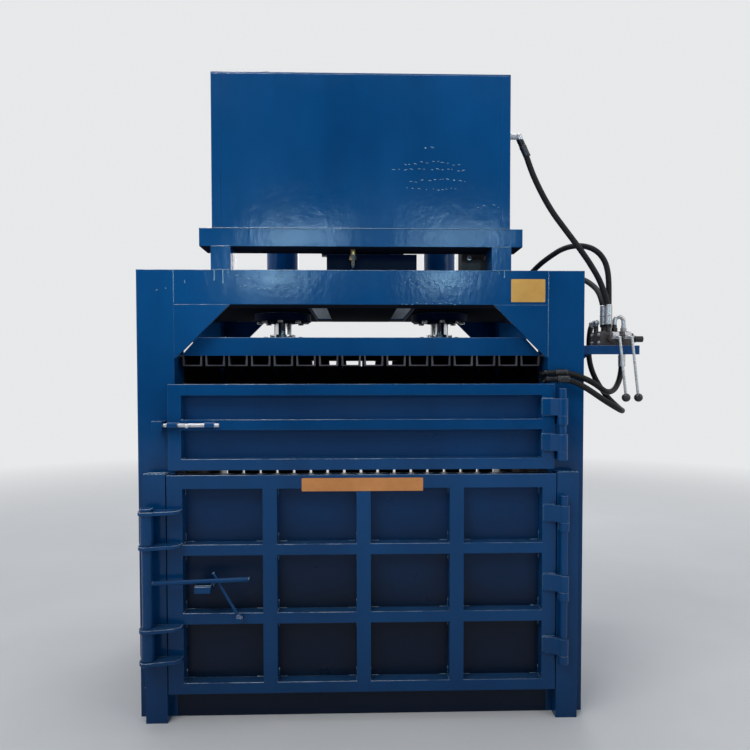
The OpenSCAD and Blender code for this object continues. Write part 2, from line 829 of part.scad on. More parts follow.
module gear_pump() {
    x0 = pump_x;
    color("#8e9498") union() {
        block([x0, motor_y - 48, motor_z - 62], [x0 + 22, motor_y + 48, motor_z + 40]);
        block([x0 + 22, motor_y - 42, motor_z - 56], [x0 + 92, motor_y + 42, motor_z + 34]);
        block([x0 + 92, motor_y - 46, motor_z - 60], [x0 + 110, motor_y + 46, motor_z + 38]);
        bar_x([x0 - 9, motor_y, motor_z], 9, 40 - 2 * fit);
        bar_y(pump_port, 16, 40);
        bar_y([x0 + 57, motor_y + 42, motor_z - 12], 16, 32);
    }
}

// Hand valve

// Cast block on the right deck plate, fed by a pipe from the pump.
module port_block() {
    x0 = block_at[0];
    y0 = block_at[1];
    z1 = block_at[2];
    color("#3a3a3e") union() {
        block([x0 - 16, y0 - 4, deck_z + deck_t], [x0 + block_w + 16, y0 + block_d + 4, deck_z + deck_t + 14]);
        block([x0, y0, deck_z + deck_t], [x0 + block_w, y0 + block_d, z1]);
        for (x = [x0 + 32, x0 + block_w - 32])
            bar_y([x, y0 - 5, z1 - 40], 6, 34);
        bar_x([x0 + block_w - 1, y0 + block_d / 2, z1 - 40], 17, 40);
    }
}

// Pressure pipe from the pump's rear port to the block, with the block's plugs.
module pump_pipe() {
    out = [pump_port[0], motor_y + 58, pump_port[2]];
    top = [block_at[0] + block_w / 2, block_at[1] + block_d / 2, block_at[2] + 32];
    bend = [out, out + [0, 22, 0], [top[0], out[1] + 22, out[2]], top];
    color(steel) union() {
        for (i = [0:2])
            rod(bend[i], bend[i + 1], 20);
        for (i = [1:3])
            translate(bend[i]) sphere(d = 26);
        translate([top[0], top[1], block_at[2]]) cylinder(h = 32, d = 20);
        nut([top[0], top[1], block_at[2]], 34, 18);
    }
    for (x = [block_at[0] + 32, block_at[0] + block_w - 32])
        color(steel) translate([x, block_at[1] - 5, block_at[2] - 40]) rotate([90, 0, 0])
            cylinder(h = 12, d = 24, $fn = 6);
}

module valve_bracket() {
    color(paint_dark) union() {
        block([half_w, valve_y, bracket_z - bracket_t], [half_w + bracket_l, valve_y + bracket_d, bracket_z]);
        block([half_w, valve_y - bracket_t, bracket_z - bracket_h],
            [half_w + bracket_l, valve_y, bracket_z]);
        translate([half_w, valve_y + bracket_d / 2 + 4, 0]) rotate([90, 0, 0]) linear_extrude(bracket_t)
            polygon([[0, bracket_z - bracket_t], [90, bracket_z - bracket_t], [0, bracket_z - 80]]);
    }
}

module valve_body() {
    x0 = valve_x;
    port_block();
    color("#7a5a55") union() {
        block([x0, valve_y + 4, bracket_z], [lever_x[0] - 25, valve_y + bracket_d - 4, port_z]);
        for (x = lever_x)
            block([x - 25, valve_y + 10, bracket_z], [x + 25, valve_y + bracket_d - 10, port_z]);
        block([lever_x[1] + 25, valve_y + 14, bracket_z], [lever_x[1] + 47, valve_y + bracket_d - 14, port_z - 8]);
        for (x = lever_x) {
            bar_y([x, valve_y - 8, bracket_z + 32], 18, 36);
            bar_y([x, valve_y + bracket_d - 10, bracket_z + 32], 24, 36);
            block([x - 5.7, lever_hub[0] - 6, lever_hub[1] - 8], [x + 5.7, valve_y - 7, lever_hub[1] + 8]);
            bar_x([x - 13, lever_hub[0], lever_hub[1]], 26, hub_pin_d);
        }
    }
}

// Adapters, elbows and the ferrules of the hoses, with a bent tube between two ports.
module valve_fittings() {
    r = (arch_x[1] - arch_x[0]) / 2;
    arch = concat([[arch_x[0], arch_y, port_z + 18]], [for (a = [180:-15:0])
        [arch_x[0] + r + r * cos(a), arch_y, port_z + 44 + r * sin(a)]], [[arch_x[1], arch_y, port_z + 18]]);
    color(steel) union() {
        for (p = [return_end, rear_end, side_end]) {
            translate([p[0], p[1], port_z]) cylinder(h = 22, d = 20);
            nut([p[0], p[1], port_z + 20], 26, 12);
            translate([p[0], p[1], port_z + 30]) cylinder(h = p[2] - port_z - 30, d = 30);
        }
        translate([feed_port[0], feed_port[1], port_z]) cylinder(h = feed_port[2] - port_z, d = 20);
        translate(feed_port) sphere(d = 28);
        rod(feed_port, feed_start, 26);
        translate(under_end) cylinder(h = bracket_z - bracket_t - under_end[2], d = 30);
    }
    color("#c0a45c") union() {
        for (x = arch_x) {
            nut([x, arch_y, port_z], 24, 16);
            translate([x, arch_y, port_z + 15]) cylinder(h = 12, d = 20);
        }
        tube(arch, arch_d, arch_sides);
    }
    for (p = [feed_end, under_start])
        color(steel) union() {
            bar_x([entry_x, p[1], p[2]], p[0] - entry_x, 22);
            translate([entry_x, p[1], p[2]]) sphere(d = 25);
            bar_y([entry_x, p[1], p[2]], entry_y - p[1], 20);
            translate([entry_x, entry_y, p[2]]) sphere(d = 25);
            bar_x([entry_x, entry_y, p[2]], chamber_x - entry_x, 20);
        }
}

// A hub on the pin of its spool, a cranked rod and a ball knob.
module hand_lever(x) {
    hub = [x, lever_hub[0], lever_hub[1]];
    tip = hub + hand_l * [0.12, -0.17, -0.978];
    elbow = hub + [8, -32, -10];
    color(steel) union() {
        difference() {
            bar_x([x - 13, hub[1], hub[2]], 26, 32);
            translate([x - 6, hub[1] - 8, hub[2] - 20]) cube([12, 30, 40]);
            bar_x([x - 14, hub[1], hub[2]], 28, hub_pin_d + 2 * fit);
        }
        rod([x, hub[1] - 10, hub[2] - 2], elbow, hand_d);
        translate(elbow) sphere(d = hand_d + 2);
        rod(elbow, tip, hand_d);
    }
    color(black) translate(tip) sphere(d = knob_d);
}

module left_lever() {
    hand_lever(lever_x[0]);
}

module right_lever() {
    hand_lever(lever_x[1]);
}

module relief_knob() {
    x0 = lever_x[1] + 47;
    color(black) union() {
        bar_x([x0 + 0.3, valve_y + 55, bracket_z + 30], 22, 16);
        bar_x([x0 + 21, valve_y + 55, bracket_z + 30], 4, 30);
        difference() {
            bar_x([x0 + 24, valve_y + 55, bracket_z + 30], 32, 26);
            for (a = [22:45:337])
                translate([x0 + 27, valve_y + 55, bracket_z + 30]) rotate([a, 0, 0])
                    translate([0, -1.5, 11.5]) cube([30, 3, 4]);
        }
    }
}

// Hoses

// Unit direction of the route at point i.
function heading(r, i) = let (a = r[max(i - 1, 0)], b = r[min(i + 1, len(r) - 1)]) (b - a) / norm(b - a);

// Side directions of the rings, each turned as little as possible from the one before.
function ring_sides(r, i, s) = i == len(r) ? [] :
    let (h = heading(r, i), t = s - (s * h) * h, u = t / norm(t)) concat([u], ring_sides(r, i + 1, u));

// A round tube of n sides along a route.
module tube(route, d, n) {
    last = len(route) - 1;
    first = cross(heading(route, 0), [0.3, 0.9, 0.4]);
    us = ring_sides(route, 0, first);
    points = [for (i = [0:last]) let (s = us[i], t = cross(s, heading(route, i)))
        for (k = [0:n - 1]) route[i] + d / 2 * (cos(k * 360 / n) * s + sin(k * 360 / n) * t)];
    ends = [[for (k = [0:n - 1]) k], [for (k = [n - 1:-1:0]) last * n + k]];
    sides = [for (i = [0:last - 1], k = [0:n - 1], half = [0, 1]) let (j = (k + 1) % n, a = i * n, b = a + n)
        half == 0 ? [a + k, b + k, b + j] : [a + k, b + j, a + j]];
    polyhedron(points, concat(ends, sides), convexity = 6);
}

module hose(line, start, end) {
    color(black) tube(fitted(line, start, end), hose_d, hose_sides);
}

module return_hose() {
    hose(return_line, return_start, return_end);
}

module rear_hose() {
    hose(rear_line, rear_port, rear_end);
}

module side_hose() {
    hose(side_line, side_port, side_end);
}

module feed_hose() {
    hose(feed_line, feed_start, feed_end);
}

module under_hose() {
    hose(under_line, under_start, under_end);
}

// Hinges and keepers on the posts

// A pin with one lug welded under each door leaf.
module pin_with_lugs(at, leaves, back_y, pin_top) {
    z0 = leaves[0] - knuckle_gap - lug_h;
    translate([at[0], at[1], z0]) cylinder(h = pin_top - z0, d = pin_d);
    for (z = leaves) {
        translate([at[0], at[1], z - knuckle_gap - lug_h]) cylinder(h = lug_h, d = knuckle_d);
        block([at[0] - 14, at[1], z - knuckle_gap - lug_h], [at[0] + 14, back_y, z - knuckle_gap]);
    }
}

module hinge_pins() {
    color(paint) union() pin_with_lugs(upper_pin, upper_leaves, front_y, upper_leaves[1] + leaf_h + 40);
    color(paint) union() pin_with_lugs(lower_pin, lower_leaves, jamb_y, lower_leaves[2] + leaf_h + 40);
}

module door_keepers() {
    color(paint) difference() {
        block([keeper_x - keeper_l / 2, bolt_y - 18, bolt_z - 18],
            [keeper_x + keeper_l / 2, front_y, bolt_z + 18]);
        bar_x([keeper_x - keeper_l, bolt_y, bolt_z], 2 * keeper_l, bolt_rod_d + 1);
    }
    for (pair = [[0, 1], [2, 3]])
        color(paint) block([-jamb_in - jamb_w - 18, jamb_y - 6, ear_tops[pair[1]]],
            [-jamb_in - jamb_w, front_y, ear_tops[pair[0]] - ear_t]);
}

// Press plate

module platen_beam_x(y0) {
    color(paint) difference() {
        translate([0, y0 + platen_beam_w, 0]) rotate([90, 0, 0]) linear_extrude(platen_beam_w)
            polygon([[-platen_half, sheet_z], [platen_half, sheet_z],
                [platen_half - platen_mitre, platen_top], [-platen_half + platen_mitre, platen_top]]);
        translate([0, y0 + platen_beam_w - tube_wall, 0]) rotate([90, 0, 0])
            linear_extrude(platen_beam_w - 2 * tube_wall)
                polygon([[-platen_half + 30, sheet_z + tube_wall], [platen_half - 30, sheet_z + tube_wall],
                    [platen_half - platen_mitre - 14, platen_top - tube_wall],
                    [-platen_half + platen_mitre + 14, platen_top - tube_wall]]);
    }
}

module platen_frame() {
    side_x = platen_half - platen_mitre - platen_beam_w;
    y0 = platen_y0 + platen_beam_w;
    y1 = platen_y1 - platen_beam_w;
    union() {
        platen_beam_x(platen_y0);
        platen_beam_x(platen_y1 - platen_beam_w);
        color(paint_dark) block([-platen_half, y0, sheet_z], [platen_half, y1, sheet_z + platen_sheet]);
        for (x0 = [-side_x - platen_beam_w, side_x])
            color(paint) translate([x0, y1, sheet_z + platen_sheet]) rotate([90, 0, 0])
                box_tube(platen_beam_w, platen_top - sheet_z - platen_sheet, y1 - y0, tube_wall);
        for (side = [-1, 1])
            color(paint) translate([side * cyl_x - foot_d / 2 - 15, y1, sheet_z + platen_sheet])
                rotate([90, 0, 0]) box_tube(foot_d + 30, platen_top - sheet_z - platen_sheet, y1 - y0, tube_wall);
    }
}

module platen_channels() {
    for (x = channel_xs())
        color(primer) translate([x, platen_y0, platen_z]) floor_channel(platen_y1 - platen_y0);
}

module ram(side) {
    color(steel) translate([side * cyl_x, cyl_y, 0]) union() {
        translate([0, 0, platen_top]) cylinder(h = piston_top - platen_top, d = rod_d, $fn = 64);
        translate([0, 0, piston_top - piston_l]) cylinder(h = piston_l, d = bore_d - 2 * fit, $fn = 64);
    }
    color(paint_dark) translate([side * cyl_x, cyl_y, 0]) difference() {
        union() {
            translate([0, 0, platen_top]) cylinder(h = foot_t / 2, d = foot_d, $fn = 64);
            translate([0, 0, platen_top]) cylinder(h = foot_t, d = rod_d + 40, $fn = 64);
        }
        translate([0, 0, platen_top - 1]) cylinder(h = foot_t + 2, d = rod_d, $fn = 64);
    }
}

module left_ram() {
    ram(-1);
}

module right_ram() {
    ram(1);
}

// Doors

// Edges of n panels that share a span, with bars of width bar between them.
function cell_edges(a, b, n, bar) = let (w = (b - a - (n - 1) * bar) / n)
    [for (i = [0:n - 1]) [a + i * (w + bar), a + i * (w + bar) + w]];

// A grid of box bars, open to the skin behind it.
module door_grid(w, z0, z1, cols, rows) {
    back = skin_y + 1;
    difference() {
        block([-w / 2, door_y, z0], [w / 2, skin_y, z1]);
        for (c = cols, r = rows)
            block([c[0], door_y - 1, r[0]], [c[1], back, r[1]]);
        for (i = [0:len(cols)]) {
            x0 = i == 0 ? -w / 2 : cols[i - 1][1];
            x1 = i == len(cols) ? w / 2 : cols[i][0];
            block([x0 + bar_wall, door_y + bar_wall, z0 + bar_wall], [x1 - bar_wall, back, z1 - bar_wall]);
        }
        for (i = [0:len(rows)]) {
            low = i == 0 ? z0 : rows[i - 1][1];
            high = i == len(rows) ? z1 : rows[i][0];
            block([-w / 2 + bar_wall, door_y + bar_wall, low + bar_wall],
                [w / 2 - bar_wall, back, high - bar_wall]);
        }
    }
}

// The hinge leaves of a door, bored for the pin.
module leaves(pin, edge, zs) {
    for (z = zs) {
        difference() {
            union() {
                translate([pin[0], pin[1], z]) cylinder(h = leaf_h, d = knuckle_d);
                block([edge - stile_w, door_y - leaf_t, z], [edge, door_y, z + leaf_h]);
                raise(z, leaf_h) polygon([[edge - 20, door_y - leaf_t],
                    [pin[0] - 8, pin[1] - 19], [pin[0], pin[1]], [edge, door_y]]);
            }
            translate([pin[0], pin[1], z - 1]) cylinder(h = leaf_h + 2, d = pin_d + 2 * fit);
        }
    }
}

upper_cols = [[-upper_w / 2 + stile_w, upper_w / 2 - stile_w]];
upper_rows = [[upper_z + rail_face, bolt_z - 21], [bolt_z + 21, upper_top - rail_face]];
lower_cells = cell_edges(-lower_w / 2 + 62, lower_w / 2 - stile_w - 4, lower_cols, upright_w);
lower_rails = [[405, 450], [684, 728]];
lower_rows = [[lower_z + rail_face, lower_rails[0][0]], [lower_rails[0][1], lower_rails[1][0]],
    [lower_rails[1][1], lower_top - top_rail_face]];

module upper_door_frame() {
    color(paint) union() {
        door_grid(upper_w, upper_z, upper_top, upper_cols, upper_rows);
        leaves(upper_pin, upper_w / 2, upper_leaves);
        for (s = sleeves)
            difference() {
                union() {
                    bar_x([s[0] + 12, bolt_y, bolt_z], s[1] - 12, bolt_rod_d + 12);
                    block([s[0] + 12, bolt_y, bolt_z - 9], [s[0] + s[1], door_y, bolt_z + 9]);
                }
                bar_x([s[0] - 1, bolt_y, bolt_z], s[1] + 2, bolt_rod_d + 2 * fit);
            }
    }
}

module upper_door_skin() {
    color(paint_dark) block([-upper_w / 2, skin_y, upper_z], [upper_w / 2, skin_y + skin_t, upper_top]);
}

module door_bolt() {
    color(steel) union() {
        bar_x([bolt_tip, bolt_y, bolt_z], bolt_rod_l, bolt_rod_d);
        bar_y([bolt_grip_x, bolt_y - 34, bolt_z], 34, 10);
        translate([bolt_grip_x, bolt_y - 34, bolt_z]) sphere(d = 18);
    }
}

module lower_door_frame() {
    color(paint) union() {
        door_grid(lower_w, lower_z, lower_top, lower_cells, lower_rows);
        leaves(lower_pin, lower_w / 2, lower_leaves);
    }
}

module lower_door_skin() {
    color(paint_dark) block([-lower_w / 2, skin_y, lower_z], [lower_w / 2, skin_y + skin_t, lower_top]);
}

// Four ears that carry the lock shaft, and the rest under its lever.
module lock_ears() {
    for (z = ear_tops)
        color(paint) difference() {
            raise(z - ear_t, ear_t) union() {
                translate([shaft_x, shaft_y]) circle(d = shaft_d + 26);
                polygon([[shaft_x, shaft_y - shaft_d / 2 - 13], [-lower_w / 2 + 40, door_y - 52],
                    [-lower_w / 2 + 62, door_y - 30], [-lower_w / 2 + 62, door_y],
                    [-lower_w / 2, door_y], [shaft_x, shaft_y + shaft_d / 2 + 13]]);
            }
            translate([shaft_x, shaft_y, z - ear_t - 1]) cylinder(h = ear_t + 2, d = shaft_d + 2 * fit);
        }
    rest_z = lever_z - lever_d / 2 + 4;
    color(paint) translate([rest_x, door_y, rest_z]) union() {
        translate([0, -60, -30]) cube([rest_w, skin_y - door_y + 60, 14]);
        translate([0, -60, -16]) cube([rest_w, 10, 12]);
        translate([0, -48, -16]) cube([rest_w, 40, 14]);
    }
}

// Shaft with two cams and the lever.
module lock_shaft() {
    gap = 1;
    turn = atan2(jamb_y - 6 - shaft_y, -jamb_in - jamb_w - shaft_x);
    color(paint) union() {
        translate([shaft_x, shaft_y, ear_tops[3] - ear_t - 12])
            cylinder(h = ear_tops[0] - ear_tops[3] + ear_t + 24, d = shaft_d);
        translate([shaft_x, shaft_y, ear_tops[0] + gap]) cylinder(h = 11, d = shaft_d + 8);
        for (pair = [[0, 1], [2, 3]])
            translate([shaft_x, shaft_y, ear_tops[pair[1]] + gap]) rotate([0, 0, turn])
                linear_extrude(ear_tops[pair[0]] - ear_t - ear_tops[pair[1]] - 2 * gap) union() {
                    circle(d = shaft_d + 10);
                    translate([0, -14]) square([sqrt(cam_r * cam_r - 196), 28]);
                }
    }
    color(paint)
        rod([shaft_x, shaft_y, lever_z], [shaft_x + lever_l, shaft_y, lever_z + lever_rise], lever_d);
}

// A stay that leans behind the lever and turns on a stud in the door rail.
module safety_stay() {
    foot = [stay_foot[0], stay_y, stay_foot[1]];
    head = [stay_head[0], stay_y, stay_head[1]];
    color(paint) union() {
        rod(foot, head, stay_d);
        bar_y([foot[0], stay_y - 10, foot[2]], 20, 30);
        bar_y([foot[0], stay_y - 18, foot[2]], 8.5, 18);
        bar_y([foot[0], door_y - 8, foot[2]], 7.7, 22);
    }
}

front_left_post();
front_right_post();
rear_left_post();
rear_right_post();
front_top_beam();
rear_top_beam();
side_top_beams();
corner_gussets();
centre_tie();
deck_plates();
sill_beams();
floor_grid();
left_side_wall();
right_side_wall();
rear_wall();
door_jambs();
shelf_beam();
shelf_posts();
tank_shell();
tank_lid();
filler_cap();
tank_fittings();
drain_cock();
cock_handle();
left_barrel();
right_barrel();
cylinder_glands();
flange_bolts();
link_pipes();
motor_stand();
motor_body();
fan_cover();
motor_shaft();
bell_housing();
gear_pump();
valve_bracket();
valve_body();
valve_fittings();
left_lever();
right_lever();
relief_knob();
return_hose();
rear_hose();
side_hose();
feed_hose();
under_hose();
hinge_pins();
door_keepers();
platen_frame();
platen_channels();
left_ram();
right_ram();
upper_door_frame();
upper_door_skin();
door_bolt();
lower_door_frame();
lower_door_skin();
lock_ears();
lock_shaft();
safety_stay();
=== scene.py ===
import json
import math
import random

import bpy
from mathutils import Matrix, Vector


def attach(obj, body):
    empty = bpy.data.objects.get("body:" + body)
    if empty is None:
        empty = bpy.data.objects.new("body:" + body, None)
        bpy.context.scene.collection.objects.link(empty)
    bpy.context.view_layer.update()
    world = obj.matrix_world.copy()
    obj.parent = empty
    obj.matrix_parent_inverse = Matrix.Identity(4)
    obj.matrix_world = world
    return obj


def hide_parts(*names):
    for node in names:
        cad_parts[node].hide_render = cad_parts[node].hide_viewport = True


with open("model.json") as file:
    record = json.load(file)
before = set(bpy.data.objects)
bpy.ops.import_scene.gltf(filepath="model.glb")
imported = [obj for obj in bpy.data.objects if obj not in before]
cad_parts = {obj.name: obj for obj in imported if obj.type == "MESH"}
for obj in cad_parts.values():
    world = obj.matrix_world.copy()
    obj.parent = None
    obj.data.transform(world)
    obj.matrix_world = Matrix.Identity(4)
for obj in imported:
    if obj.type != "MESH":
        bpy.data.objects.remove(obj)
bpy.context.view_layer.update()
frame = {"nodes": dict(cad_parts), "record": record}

nodes = frame["nodes"]
random.seed(11)


view = {
    "at": (-0.027, -3.1976, 1.4008),
    "turn": (88.1786, 0.063, -1.5617),
    "lens": 31.2,
    "sensor": 36,
    "shift": (0.0017, 0.0303),
}
camera = bpy.data.objects.new("camera", bpy.data.cameras.new("camera"))
bpy.context.scene.collection.objects.link(camera)
camera.location = view["at"]
camera.rotation_euler = [math.radians(a) for a in view["turn"]]
camera.data.lens = view["lens"]
camera.data.sensor_width = view["sensor"]
camera.data.shift_x, camera.data.shift_y = view["shift"]
camera.data.clip_end = 60
bpy.context.scene.camera = camera
print("camera placed")


def newMaterial(name):
    mat = bpy.data.materials.new(name)
    mat.use_nodes = True
    tree = mat.node_tree
    shader = tree.nodes["Principled BSDF"]
    return mat, tree, shader


def addNode(tree, kind, **values):  # adds a node and sets its inputs by name
    node = tree.nodes.new(kind)
    for key, value in values.items():
        if key in node.inputs:
            node.inputs[key].default_value = value
        else:
            setattr(node, key, value)
    return node


def objectPoint(tree, stretch=(1, 1, 1)):
    place = addNode(tree, "ShaderNodeTexCoord")
    mapping = addNode(tree, "ShaderNodeMapping")
    mapping.inputs["Scale"].default_value = stretch
    tree.links.new(place.outputs["Object"], mapping.inputs["Vector"])
    return mapping.outputs["Vector"]


def noise(tree, scale, detail=3, rough=0.55, stretch=(1, 1, 1)):
    node = addNode(tree, "ShaderNodeTexNoise", Scale=scale, Detail=detail, Roughness=rough)
    tree.links.new(objectPoint(tree, stretch), node.inputs["Vector"])
    return node.outputs["Fac"]


def remap(tree, value, low, high, out0=0.0, out1=1.0):
    node = addNode(tree, "ShaderNodeMapRange")
    node.clamp = True
    for key, number in zip(("From Min", "From Max", "To Min", "To Max"), (low, high, out0, out1)):
        node.inputs[key].default_value = number
    tree.links.new(value, node.inputs["Value"])
    return node.outputs["Result"]


def maths(tree, how, a, b):
    node = addNode(tree, "ShaderNodeMath", operation=how)
    for i, v in enumerate((a, b)):
        if isinstance(v, (int, float)):
            node.inputs[i].default_value = v
        else:
            tree.links.new(v, node.inputs[i])
    return node.outputs[0]


def mixColour(tree, amount, a, b):  # a and b are colours or sockets
    node = addNode(tree, "ShaderNodeMix", data_type="RGBA")
    tree.links.new(amount, node.inputs["Factor"])
    for key, v in (("A", a), ("B", b)):
        socket = [s for s in node.inputs if s.name == key and s.type == "RGBA"][0]
        if isinstance(v, tuple):
            socket.default_value = (*v, 1)
        else:
            tree.links.new(v, socket)
    return [s for s in node.outputs if s.type == "RGBA"][0]


def edgeMask(tree, radius, least=0.995):  # 1 where the surface turns within the radius
    bevel = addNode(tree, "ShaderNodeBevel", samples=4, Radius=radius)
    geometry = addNode(tree, "ShaderNodeNewGeometry")
    dot = addNode(tree, "ShaderNodeVectorMath", operation="DOT_PRODUCT")
    tree.links.new(bevel.outputs["Normal"], dot.inputs[0])
    tree.links.new(geometry.outputs["Normal"], dot.inputs[1])
    return remap(tree, dot.outputs["Value"], least, least - 0.095), bevel.outputs["Normal"]


def facing(tree, low, high, normal=None):  # 1 where the surface looks up past high, 0 under low
    parts = addNode(tree, "ShaderNodeSeparateXYZ")
    tree.links.new(normal or addNode(tree, "ShaderNodeNewGeometry").outputs["Normal"], parts.inputs[0])
    return remap(tree, parts.outputs["Z"], low, high)


def bump(tree, height, strength, distance, normal=None):
    node = addNode(tree, "ShaderNodeBump", Strength=strength, Distance=distance)
    tree.links.new(height, node.inputs["Height"])
    if normal is not None:
        tree.links.new(normal, node.inputs["Normal"])
    return node.outputs["Normal"]


def insideBox(tree, low, high):  # 1 inside the box and 0 outside it, by place on the object
    parts = addNode(tree, "ShaderNodeSeparateXYZ")
    tree.links.new(objectPoint(tree), parts.inputs[0])
    mask = None
    for axis in range(3):
        above = maths(tree, "GREATER_THAN", parts.outputs[axis], low[axis])
        below = maths(tree, "LESS_THAN", parts.outputs[axis], high[axis])
        both = maths(tree, "MULTIPLY", above, below)
        mask = both if mask is None else maths(tree, "MULTIPLY", mask, both)
    return mask


def inZones(tree, colour, zones):  # other tones inside given boxes
    for low, high, first, second in zones:
        zone = mixColour(tree, remap(tree, noise(tree, 9, 5, 0.7), 0.35, 0.65), first, second)
        colour = mixColour(tree, insideBox(tree, low, high), colour, zone)
    return colour


def placeOf(tree):
    parts = addNode(tree, "ShaderNodeSeparateXYZ")
    tree.links.new(objectPoint(tree), parts.inputs[0])
    return parts.outputs


def product(tree, *values):
    result = values[0]
    for value in values[1:]:
        result = maths(tree, "MULTIPLY", result, value)
    return result


def paintMaterial(name, v):  # thick brushed enamel: two tones, runs, dust on top, painted highlights along the edges, and painted shade low down and on undersides
    mat, tree, shader = newMaterial(name)
    broad = noise(tree, v["patch"], 4, 0.6)
    streak = noise(tree, v["streak"], 3, 0.5, (1, 1, 0.16))
    both = maths(tree, "ADD", product(tree, broad, 0.6), product(tree, streak, 0.4))
    colour = mixColour(tree, remap(tree, both, 0.36, 0.64), v["dark"], v["light"])

    edge, rounded = edgeMask(tree, v["round"])
    # lighter edges: a painted highlight along the turns of the surface
    paintedEdgeHighlight = remap(tree, noise(tree, 23, 4, 0.7), 0.38, 0.62, 0.15, v["edgeHighlight"])
    colour = mixColour(tree, product(tree, edge, paintedEdgeHighlight), colour, v["edge"])
    chipped = remap(tree, noise(tree, 41, 5, 0.75), 0.66, 0.7, 0, v["chips"])
    colour = mixColour(tree, product(tree, edge, chipped), colour, v["under"])

    place = placeOf(tree)
    height = maths(tree, "ADD", place["Z"], product(tree, broad, 0.3))
    # the paint is darkened towards the floor: a painted shade
    colour = mixColour(tree, remap(tree, height, *v["foot"]), v["footShade"], colour)
    # upper edges get a painted highlight, a near white glint, most at the left
    paintedGlint = product(
        tree, edge, facing(tree, 0.1, 0.4, rounded),
        remap(tree, place["X"], -0.45, 0.5, v["glintShare"], v["glintShare"] * 0.3),
        remap(tree, noise(tree, 5.5, 4, 0.7, (1, 1, 3)), 0.42, 0.56, 0.15, 1.0))
    colour = mixColour(tree, paintedGlint, colour, v["glintColour"])
    above = facing(tree, -0.95, -0.6)
    colour = mixColour(tree, above, v["undersideShade"], colour)  # undersides get a painted shade and a dull coat
    colour = inZones(tree, colour, v["zones"])
    patchy = remap(tree, noise(tree, 7, 5, 0.65), 0.35, 0.7, 0.1, v["dust"])
    dust = product(tree, facing(tree, 0.6, 0.95), patchy)
    colour = mixColour(tree, dust, colour, v["dustColour"])
    tree.links.new(colour, shader.inputs["Base Color"])

    gloss = remap(tree, noise(tree, 3.3, 4, 0.6), 0.3, 0.7, *v["rough"])
    dull = maths(tree, "MAXIMUM", product(tree, dust, 0.35), remap(tree, above, 0, 1, 0.8, 0))
    tree.links.new(maths(tree, "ADD", gloss, dull), shader.inputs["Roughness"])
    ripple = noise(tree, 26, 2, 0.4, (1, 1, 0.55))
    for scale, detail, rough, stretch, share in (
            (4.2, 2, 0.4, (1, 1, 1), v["wave"]), (75, 3, 0.6, (1, 1, 0.6), v["crackle"])):
        ripple = maths(tree, "ADD", ripple, product(tree, noise(tree, scale, detail, rough, stretch), share))
    tree.links.new(bump(tree, ripple, v["peel"], 0.0016, rounded), shader.inputs["Normal"])
    shader.inputs["Specular IOR Level"].default_value = v["shine"]
    shader.inputs["Coat Weight"].default_value = v["coat"]
    shader.inputs["Coat Roughness"].default_value = 0.16
    return mat


plain = {"stretch": (1, 1, 1), "zones": [], "shine": 0.5}  # what most bare and plastic looks share


def metalMaterial(name, **own):
    v = dict(plain, **own)
    mat, tree, shader = newMaterial(name)
    tone = remap(tree, noise(tree, v["patch"], 5, 0.65), 0.3, 0.7)
    colour = mixColour(tree, tone, v["dark"], v["light"])
    edge, rounded = edgeMask(tree, v["round"], 0.96)  # past the small turns between the flats of a round bar
    colour = mixColour(tree, product(tree, edge, 0.5), colour, v["edge"])
    colour = inZones(tree, colour, v["zones"])
    tree.links.new(colour, shader.inputs["Base Color"])
    shader.inputs["Metallic"].default_value = v["metal"]
    shader.inputs["Specular IOR Level"].default_value = v["shine"]
    grain = noise(tree, v["grain"], 4, 0.6, v["stretch"])
    tree.links.new(remap(tree, grain, 0.3, 0.7, *v["rough"]), shader.inputs["Roughness"])
    tree.links.new(bump(tree, grain, v["bump"], 0.0006, rounded), shader.inputs["Normal"])
    return mat


enamel = {
    "dark": (0.003, 0.062, 0.2), "light": (0.0045, 0.092, 0.285), "patch": 1.1, "streak": 5.5,
    # edge colour and its share: a painted highlight along the edges
    "round": 0.004, "edge": (0.03, 0.2, 0.42), "edgeHighlight": 0.6,
    "under": (0.10, 0.12, 0.14), "chips": 0.15,
    "dustColour": (0.06, 0.11, 0.17), "dust": 0.3,
    # the next colour darkens the paint towards the floor, a painted shade
    "footShade": (0.0015, 0.013, 0.044), "foot": (0.15, 1.75, 0.3, 1.0),  # heights in metres, then shares
    # a painted highlight on upper edges, then a painted shade on undersides
    "glintColour": (0.8, 0.88, 0.94), "glintShare": 1.0,
    "undersideShade": (0.0015, 0.006, 0.016), "zones": [],
    "rough": (0.09, 0.17), "shine": 0.2, "coat": 0.0,
    "peel": 0.34, "wave": 1.0, "crackle": 0.6,
}
